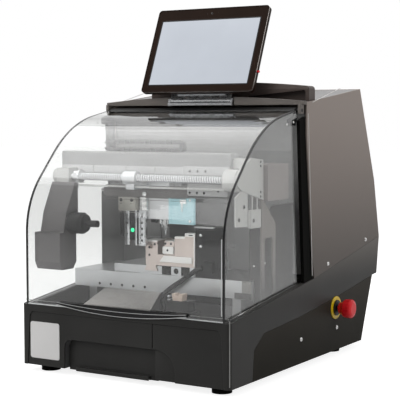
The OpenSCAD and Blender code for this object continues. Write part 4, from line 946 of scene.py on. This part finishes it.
# %% Measuring head
bm = bmesh.new()
front_plates(bm, (-108.5, -64.5, 315.5, 346, 150.2, 158, 1.0, 0.5),
             (-64.2, -60.5, 316, 346, 151.5, 158, 0.5, 0.3))
place(bm, "head_clamp_plate", "carriage", "aluminium", head_plate_grey)

bm = bmesh.new()
front_plates(bm, (-92, -80.5, 244, 318, 150.4, 158, 0.8, 0.5), (-66.5, -62, 244, 318, 150.4, 158, 0.5, 0.4),
             (-57, -40, 244, 318, 150.4, 158, 0.8, 0.5))
for x in (-55.2, -41.8):
    turned(bm, (x, 149.9, 244.5), UP, [(0, 0), (0, 1.0), (70, 1.0), (70, 0)], 12)
place(bm, "head_rails", "carriage", "aluminium", steel)

bm = bmesh.new()
front_plates(bm, (-80.5, -66.5, 254, 316, 153, 157, 0.6, 0.3), (-62, -57, 246, 316, 154, 157, 0.3, 0.2),
             (-108, -99, 262, 314, 155, 157.5, 0.3, 0.2))
for k in range(5):
    front_plate(bm, -50.2, -46.8, 252 + 12.5 * k, 257 + 12.5 * k, 149.9, 151, 0.8, 0.2)
place(bm, "head_slots", "carriage", "dark_plastic", black_plastic)

bm = bmesh.new()
turned(bm, (-74, 153.2, 275.5), FRONT, [(0, 0), (0, 4.2), (1.2, 4.0), (2.4, 2.8), (3.0, 1.2), (3.1, 0)], 24)
place(bm, "ready_lamp", "carriage", "dark_plastic", green_light)

bm = bmesh.new()
for x, z in ((-101.5, 338), (-74.5, 338)):
    socket_screw(bm, (x, 150.4, z), FRONT, 3.4, 1.8, 20)
for x, z in ((-86.3, 308), (-86.3, 290), (-86.3, 268), (-48.5, 310)):
    socket_screw(bm, (x, 150.6, z), FRONT, 1.9, 1.0, 18)
place(bm, "head_screws", "carriage", "steel", black_plastic, 50)

bm = bmesh.new()
turned(bm, (-46.5, 158, 250), UP,
       [(0, 0), (0, 1.6), (5, 2.2), (5, 3.2), (66, 3.2), (66, 7.5), (68, 10.6), (75, 10.8), (75.6, 9.6),
        (78.4, 9.6), (79, 10.8), (87, 10.8), (87.6, 9.8), (90.4, 9.8), (91, 10.8), (95.5, 10.6), (97, 8.5),
        (97, 0)], 36)
turned(bm, (-38, 150.0, 352.5), FRONT, [(0, 0), (0, 2.2), (3, 2.2), (3, 4.6), (5, 5.4), (7, 5.0), (8, 3.2),
                                            (8.2, 0)], 24)
place(bm, "head_cylinder", "carriage", "steel", zinc, 40)
print("measuring head placed")

# %% [markdown]
# Right of the spindle hangs a translucent panel, lit from behind. It is a frame with a glowing
# sheet set in it, held by two bright screws, with a small block and its pin on the upper corner.

# %% Lit panel
bm = bmesh.new()
for x0, x1, z0, z1 in ((18, 23, 293, 346), (74, 79, 293, 346), (23, 74, 338, 346), (23, 74, 293, 298)):
    front_plate(bm, x0, x1, z0, z1, 150, 157, 0.4, 0.3)
front_plate(bm, 23, 74, 297, 339, 155.5, 157, 0.3, 0.2)
place(bm, "panel_frame", "carriage", "aluminium", panel_light)
bm = bmesh.new()
front_plate(bm, 23.2, 73.8, 298.2, 337.8, 151.2, 153.0, 1.0, 0.4)
place(bm, "panel_sheet", "carriage", "clear_sheet", panel_light)
bm = bmesh.new()
turned(bm, (70, 151.3, 343), FRONT, [(0, 0), (0, 2.2), (1, 2.6), (2.2, 2.2), (2.6, 0)], 20)
turned(bm, (70, 151.3, 300), FRONT, [(0, 0), (0, 3.0), (1.2, 3.4), (2.6, 2.8), (3.2, 0)], 20)
place(bm, "panel_screws", "carriage", "steel", zinc, 45)
bm = bmesh.new()
front_plate(bm, 48, 63, 335, 343.8, 146, 151, 1.5, 0.6)
turned(bm, (52, 148, 318), UP, [(0, 0), (1.5, 1.3), (12, 1.3), (12, 2.0), (17, 2.0), (17, 0)], 16)
place(bm, "panel_sensor", "carriage", "steel", zinc)
print("lit panel placed")

# %% [markdown]
# The spindle is a black housing with a bright nose. Around the nose sit two air nozzles that blow
# swarf off the key, their clamp blocks and a small pressure ring. They are turned and bent parts,
# so profiles and curved tubes make them. All of them stay behind the cover's plane, because the
# spindle slides up behind it.

# %% Spindle fittings
bm = bmesh.new()
front_plates(bm, (-37.5, -21, 292, 340, 168.4, 171.8, 1.5, 0.8),
             (-43.8, -7.2, 346, 391, 170.6, 172.4, 1.5, 0.6))
place(bm, "spindle_guard", "spindle", "dark_plastic", black_plastic)
bm = bmesh.new()
turned(bm, (-18, 195, 281), UP, [(0, 6.05), (0, 8.4), (0.8, 9.3), (7, 9.3), (7.6, 12.4), (8.4, 13.4),
                                       (18.5, 13.4), (19, 12.6), (19, 6.05), (0, 6.05)], 36)
place(bm, "spindle_nose_ring", "spindle", "steel", zinc, 40)
bm = bmesh.new()
front_plates(bm, (-24, -17, 318, 342, 169.9, 171.8, 1.5, 0.6), (-14, 2.5, 322, 342, 169.9, 171.8, 4.0, 0.8),
             (-9.5, 3.2, 304, 326, 169.7, 171.8, 4.0, 1.0), (-20, -12, 299, 314, 169.9, 171.8, 2.0, 0.6))
turned(bm, (7.8, 172.7, 337), FRONT, [(0, 0), (0, 3.4), (1, 4.2), (3, 4.2), (4, 3.2), (4.2, 0)], 24)
place(bm, "nozzle_blocks", "spindle", "aluminium", zinc)
bm = bmesh.new()
tube(bm, curve_through([(-20, 172, 346), (-20.5, 171, 338), (-20.5, 171, 322), (-18, 171.5, 304),
                        (-14, 177, 288), (-13, 184, 276)]), 1.4, 10)
tube(bm, curve_through([(5, 171.5, 345), (6, 170.4, 332), (5, 170.4, 318), (0, 171, 300), (-7, 180, 286),
                        (-10, 186, 276)]), 1.3, 10)
place(bm, "air_nozzles", "spindle", "steel", steel)
bm = bmesh.new()
turned(bm, (-5.7, 169.9, 332), FRONT, [(0, 0), (0, 4.0), (0.4, 4.0), (0.4, 0)], 24)
for x, y, z in ((-20.5, 169.9, 336), (-3.2, 169.7, 318), (-3.2, 169.7, 309)):
    socket_screw(bm, (x, y, z), FRONT, 2.2, 1.2, 18)
place(bm, "nozzle_screws", "spindle", "dark_plastic", black_plastic, 50)
print("spindle fittings placed")

# %% [markdown]
# The clamp is a ground steel vise, and its faces carry a warm tint. Its tops and its front ledge are
# ground; their brightness is painted in as a near-white colour with little metal, a painted
# reflection. The edges between are broken by a small chamfer. Screw holes are dark discs, painted
# shade in the holes.

# %% Clamp
# near-white with little metal: a painted reflection on the ground tops and ledges
lands_painted_reflection = finish("lands_painted_reflection", (0.86, 0.85, 0.83), 0.30, metal=0.35, along=(1, 10, 10), scale=140,
                      bump=0.06, spread=0.04, wear_rgb=(0.95, 0.95, 0.94))


def top_plate(bm, x0, x1, y0, y1, z_base, rise=0.9, soft=0.4):
    """A thin ground land on an upward face."""
    raised(bm, soft_rect(x1 - x0, y1 - y0, 0.8), ((x0 + x1) / 2, (y0 + y1) / 2, z_base), UP, BACK,
           rise, soft)


bm = bmesh.new()
top_plate(bm, -49.5, -19.6, 165, 204, 254.2)
front_plate(bm, -49.5, -19.6, 252.2, 255.0, 164.6, 166, 0.3, 0.3)
top_plate(bm, 23.2, 47.8, 165, 181.8, 264.6)
top_plate(bm, 48.2, 72, 165, 181.8, 272.6)
front_plates(bm, (23.2, 47.8, 261.5, 265.4, 164.6, 166, 0.3, 0.3),
             (48.2, 72, 266.5, 273.4, 164.6, 166, 0.3, 0.3), (69.6, 72.4, 205, 272, 164.4, 166, 0.3, 0.3))
raised(bm, [(-14, 211), (66, 211), (66, 224.5), (-3, 224.5)], (0, 165.4, 0), FRONT, UP, 3.2, 0.6)
place(bm, "clamp_lands", "clamp_base", "clamp_steel", lands_painted_reflection)
# dark discs: painted shade in the screw holes of the clamp
bm = bmesh.new()
front_plate(bm, 58, 67, 268.8, 271, 163.9, 165.2, 0.8, 0.2)
turned_at(bm, ((-26.6, 165.1, 247), (-40, 165.1, 240), (-40, 165.1, 224)), FRONT,
          [(0, 0), (0, 2.7), (0.35, 2.7), (0.35, 2.0), (0.1, 0)], 20)
place(bm, "clamp_hole_shades", "clamp_base", "dark_plastic", black_plastic, 50)

bm = bmesh.new()
top_plate(bm, -3.6, 20.1, 168.4, 221, 254.2)
front_plate(bm, -6.8, 19.8, 228.5, 243.5, 164.5, 168.2, 1.2, 0.8)
place(bm, "jaw_lands", "moving_jaw", "clamp_steel", lands_painted_reflection)
# dark discs: painted shade in the screw holes of the jaw
bm = bmesh.new()
turned_at(bm, ((-1.6, 168.1, 249.4), (12, 168.1, 249.4), (5.5, 164.6, 236)), FRONT,
          [(0, 0), (0, 2.5), (0.35, 2.5), (0.35, 1.8), (0.1, 0)], 20)
place(bm, "jaw_hole_shades", "moving_jaw", "dark_plastic", black_plastic, 50)
print("clamp lands and holes placed")

# %% [markdown]
# Inner sheets close the chamber. A side sheet stands inside the right pillar, a short one at the
# left edge of the rear wall, and an apron closes the gap between table and wall against swarf.
# They are folded sheet metal in dark paint, so plates with soft edges make them.

# %% Chamber sheets
inner_dark = finish("inner_dark", (0.016, 0.0145, 0.0125), 0.5, bump=0.3, scale=900, wear=0.05, spec=0.2,
                    ior=1.35)
bm = bmesh.new()
raised(bm, [(152, 187), (170, 187), (170, 104), (338, 104), (338, 332), (244, 332), (204, 289), (152, 289)],
       (204.4, 0, 0), RIGHT, UP, 1.8, 0.3)
raised(bm, soft_rect(455, 60, 1.0), (0, 341, 150), FRONT, UP, 1.6, 0.3)
top_plate(bm, -204, 203.5, 321.5, 341, 171, 1.5, 0.3)
place(bm, "chamber_side_sheet", "base", "dark_plastic", inner_dark)
bm = bmesh.new()
raised(bm, [(257.5, 124), (342, 124), (342, 352), (257.5, 352)], (-230.8, 0, 0), RIGHT, UP, 1.6, 0.3)
place(bm, "chamber_left_sheet", "base", "chamber_paint", chamber_paint)
bm = bmesh.new()
turned_at(bm, ((206.2, 166.6, 215.4), (206.2, 213.6, 216.2)), RIGHT,
          [(0, 0), (0, 3.0), (0.9, 2.9), (1.7, 2.0), (1.9, 0)], 20)
place(bm, "chamber_sheet_screws", "base", "zinc", zinc, 50)
bm = bmesh.new()
front_plate(bm, -18, 57, 184.4, 203, 168.6, 170, 0.5, 0.2)
top_plate(bm, 71, 203, 161, 318, 183.6, 0.8, 0.2)
place(bm, "table_mat", "base", "dark_plastic", inner_dark)
print("chamber sheets placed")

# %% [markdown]
# The gantry beam is a painted cover over a drilled rail plate. Light cover strips butt against each
# other along it, a drilled tab carries the end stop, and the end plate is held by screws at its
# corners. Thin plates with soft edges show these joints.

# %% Gantry cover strips
strip_paint = finish("strip_paint", (0.46, 0.46, 0.46), 0.36, bump=0.2, scale=900, spread=0.04, wear=0.2)
bm = bmesh.new()
for x0, x1 in ((-231, -148), (-147, -65), (-64, 7), (8, 74.5)):
    front_plate(bm, x0, x1, 395.5, 411, 115.8, 118.3, 0.5, 0.4)
front_plates(bm, (75.5, 183.5, 395.5, 413, 115.2, 118.3, 0.5, 0.4),
             (85.5, 180, 354.5, 378, 114.6, 118.3, 4.0, 0.5))
place(bm, "beam_strips", "base", "white_paint", strip_paint)
bm = bmesh.new()
turned_at(bm, ((91.6, 115.3, 403.2), (109.5, 115.3, 403.5), (127.9, 115.3, 403.9), (91.5, 114.7, 360.5),
               (108.5, 114.7, 360.5), (125, 114.7, 360.8), (158, 114.7, 366)), FRONT,
          [(0, 0), (0, 2.6), (0.5, 2.6), (0.6, 1.4), (0.2, 1.2), (0.2, 0)], 20)
turned_at(bm, [(218.9, 171, z) for z in (424, 416, 364, 355)], RIGHT,
          [(0, 0), (0, 2.6), (0.6, 2.6), (0.7, 1.4), (0.2, 1.2), (0.2, 0)], 20)
turned_at(bm, ((217.9, 105.5, 338), (217.9, 86, 314), (219.9, 141, 309)), RIGHT,
          [(0, 0), (0, 4.0), (0.5, 4.0), (0.6, 2.2), (0.2, 2.0), (0.2, 0)], 22)
place(bm, "gantry_fixings", "base", "dark_plastic", black_plastic, 50)
print("gantry strips and fixings placed")

# %% [markdown]
# The probe lead is a soft cable with a thick rubber sheath. It leaves the sensor plate and bows
# down to the chamber floor in one smooth curve. Its points lie up to 3.1 millimetres in front of
# its solid's route. The sheath is 10 millimetres thick, the solid 7.

# %% Probe lead
bm = bmesh.new()
tube(bm, curve_through([(6, 153, 98.5), (6, 153, 112), (3, 152, 124), (3, 150, 136), (9, 147, 147),
                        (20, 147, 157), (33, 147, 166), (47, 148, 175), (60, 149, 184),
                        (71, 150, 191.5), (81, 152, 199), (90, 153.5, 203.5), (97.7, 154.5, 204)], 5),
     5.0, 14)
sheath = place(bm, "probe_lead_sheath", "base", "cable_black", black_plastic)
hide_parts("probe_lead")
bm = bmesh.new()
turned_at(bm, ((86.5, 165.1, 271), (86.5, 165.1, 248)), FRONT,
          [(0, 0), (0, 3.8), (0.9, 3.7), (1.9, 2.8), (2.3, 1.2), (2.3, 0)], 24)
place(bm, "probe_plate_screws", "base", "zinc", zinc, 45)
bm = bmesh.new()
front_plate(bm, 75, 121, 286.2, 289.4, 158, 165.2, 0.6, 0.4)
place(bm, "probe_plate_lip", "base", "steel", strip_paint)
print("probe lead, screws and lip placed")

# %% [markdown]
# A small block on the chamber floor holds the reference gauge with which the machine measures its
# own cutter. It is hard bronze-coloured steel with two bright screws beside it.

# %% Reference gauge and table details
gauge_steel = finish("gauge_steel", (0.62, 0.50, 0.42), 0.34, metal=0.2, along=(1, 8, 8), scale=150,
                     bump=0.08)
bm = bmesh.new()
raised(bm, [(70, 141), (90, 141), (93, 160), (85, 160), (84, 156), (76, 156), (75, 160), (67, 160)],
       (0, 103, 0), FRONT, UP, 18.5, 0.8)
place(bm, "gauge_block", "base", "clamp_steel", gauge_steel)
bm = bmesh.new()
turned_at(bm, ((60, 101, 147), (60, 101, 154)), FRONT,
          [(0, 0), (0, 2.4), (14, 2.4), (15, 2.9), (17, 2.9), (18, 2.0), (18, 0)], 20)
place(bm, "gauge_screws", "base", "steel", steel, 45)
# Dark discs on the table front are painted shade in its holes.
bm = bmesh.new()
turned_at(bm, [(-166 + 29.3 * i, 160.6, 155.5) for i in range(5)], FRONT,
          [(0, 0), (0, 3.0), (0.5, 3.0), (0.5, 0)], 20)
place(bm, "table_hole_shades", "base", "dark_plastic", black_plastic, 50)
# The right end of the table front gets painted shade where less light falls: a dark grey patch over its
# upper part and a near-black strip below it.
end_shade = finish("end_shade", (0.17, 0.165, 0.15), 0.5, bump=0.2, scale=900, wear=0.1)
bm = bmesh.new()
front_plate(bm, 183, 204, 160, 184.2, 159.2, 161, 0.8, 0.3)
place(bm, "table_end_shade_patch", "base", "sheet_metal", end_shade)
bm = bmesh.new()
front_plate(bm, 166, 204.2, 147.4, 160, 159.0, 161, 0.5, 0.2)
place(bm, "table_end_shade_strip", "base", "dark_plastic", inner_dark)
print("gauge and table details placed")

# %% [markdown]
# The stop button is the standard red mushroom on a black bezel over a yellow disc. The disc is thin
# and the bezel proud of it; a ring of small ribs on the cap gives grip for the twist that frees it.

# %% Stop button
STOP = (250.0, 464.0, 94.6)
bm = bmesh.new()
turned(bm, STOP, RIGHT, [(0, 6.1), (0, 25), (1.7, 25), (2.4, 24.3), (2.4, 6.1), (0, 6.1)], 64)
disc = place(bm, "stop_disc", "base", "yellow_plastic", yellow_plastic)
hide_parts("estop_collar")
bm = bmesh.new()
turned(bm, STOP, RIGHT, [(2.2, 6.1), (2.2, 17.2), (4.6, 17.2), (5.4, 16.4), (5.4, 13), (6, 12.4), (6, 6.1),
                             (2.2, 6.1)], 56)
place(bm, "stop_bezel", "base", "dark_plastic", black_plastic)
bm = bmesh.new()
for k in range(18):
    a = 2 * math.pi * k / 18
    n = Vector((0, math.cos(a), math.sin(a)))
    raised(bm, soft_rect(1.6, 11, 0.7), Vector((284, 464, 94.6)) + n * 19.7, n, RIGHT, 0.7, 0.25)
place(bm, "stop_ribs", "stop_head", "red_plastic", red_plastic)
print("stop button placed")

# %% [markdown]
# Sheet metal is cut before it is painted, and a folded edge catches a thin line of light. Thin
# pale rods along the top and front edges of the housing, and clear lines along the lower lip and
# the front corner of the shield, are painted highlights that draw these lines of light.

# %% Bright edges
# painted highlight: pale rods along the folded edges of the housing
edge_highlight_white = finish("edge_highlight_white", (0.82, 0.80, 0.78), 0.35, bump=0.1, scale=700, spread=0.06, wear=0.0)
lo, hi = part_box("housing_side_right")
print("housing side right:", [round(v * 1000, 1) for v in lo], [round(v * 1000, 1) for v in hi])


def edge_lines(bm, *lines):
    """Thin rods, each given by its points and its radius."""
    for points, radius in lines:
        tube(bm, points, radius, 6)


bm = bmesh.new()
for s in (1, -1):
    edge_lines(bm, ([(s * 249.6, 345, 543.4), (s * 249.6, 460, 570.0), (s * 249.6, 481.5, 574.9)], 0.8),
               ([(s * 249.8, 324.6, 520), (s * 249.8, 336, 354), (s * 249.8, 347.5, 178)], 0.85))
place(bm, "housing_edge_highlights", "base", "side_paint", edge_highlight_white)

# painted highlights: pale lines along the grip's lower lip and along the shield's front corner
lip_highlight = finish("lip_highlight", (0.72, 0.73, 0.73), 0.15, bump=0.05, scale=500, spread=0.1, wear=0.0)
lo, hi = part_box("shield_grip")
grip_lo, grip_hi = lo / MM - SHIFT, hi / MM - SHIFT
GRIP_LO, GRIP_HI, GRIP_Y = grip_lo.z, grip_hi.z, grip_lo.y
print("grip:", round(GRIP_LO, 1), round(GRIP_HI, 1), round(GRIP_Y, 1))
bm = bmesh.new()
lower, upper = [], []
for i in range(33):
    x = -156 + 312 * i / 32
    t = 1 - (x / 156) ** 2
    lower.append((x, GRIP_Y + 0.5, GRIP_LO + (GRIP_HI - GRIP_LO - 5) * (1 - t) + 0.6))
    upper.append((x, GRIP_Y + 0.3, GRIP_LO + (GRIP_HI - GRIP_LO) * (0.55 + 0.42 * (1 - t))))
edge_lines(bm, (lower, 0.75), (upper, 0.55))
place(bm, "grip_highlight_lines", "shield", "clear_sheet", lip_highlight)
bm = bmesh.new()
edge_lines(bm, ([(232.4, -1.0, 140), (232.6, -1.0, 200), (232.6, -1.0, 262), (232.5, -0.6, 285)], 1.1))
place(bm, "shield_corner_highlight", "shield", "clear_sheet", lip_highlight)
print("edge lines placed")

# %% [markdown]
# Domed socket screws hold the side panels: four on each side, with a washer under each head. They
# stand where a hand tool reaches them from outside.

# %% Body screws
bm = bmesh.new()
for s in (1, -1):
    for y, z in ((295, 51), (470, 50), (423, 196), (623, 231)):
        turned(bm, (s * 250.0, y, z), (s, 0, 0), [(0, 0), (0, 4.6), (0.5, 4.6), (0.5, 3.8)], 24)
        socket_screw(bm, (s * 250.4, y, z), (s, 0, 0), 3.8, 1.8, 24)
screws = place(bm, "panel_screws_side", "base", "zinc", zinc, 50)
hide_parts("body_screws")
print("side panel screws placed")

# %% [markdown]
# The base front is a frame round two recessed panels. A flat closing plate fills the arch beside
# the drawer. Thin pale rods along the edges of the right panel and of the frame are painted
# highlights, where the folded corners catch the light.

# %% Base front details
bm = bmesh.new()
front_plate(bm, 79, 134, 0.5, 66, 5.4, 8, 0.6, 0.4)
place(bm, "arch_plate", "base", "shell_paint", shell_paint)
# painted highlight: pale rods along the folded edges of the base front
base_edge_highlight_paint = finish("base_edge_highlight_paint", (0.30, 0.30, 0.29), 0.4, bump=0.3, scale=900, spread=0.5, wear=0.3)
bm = bmesh.new()
edge_lines(bm, ([(78, 1.9, 112.2), (236, 1.9, 112.2)], 0.45), ([(237.2, 1.9, 110), (237.2, 1.9, 4)], 0.5),
           ([(-246, 0.9, 135.6), (-160, 0.9, 135.6)], 0.6), ([(160, 0.9, 135.6), (247, 0.9, 135.6)], 0.7),
           ([(248.8, 0.9, 132), (248.8, 0.9, 6)], 1.0))
place(bm, "base_edge_highlights", "base", "shell_paint", base_edge_highlight_paint)
print("base front details placed")
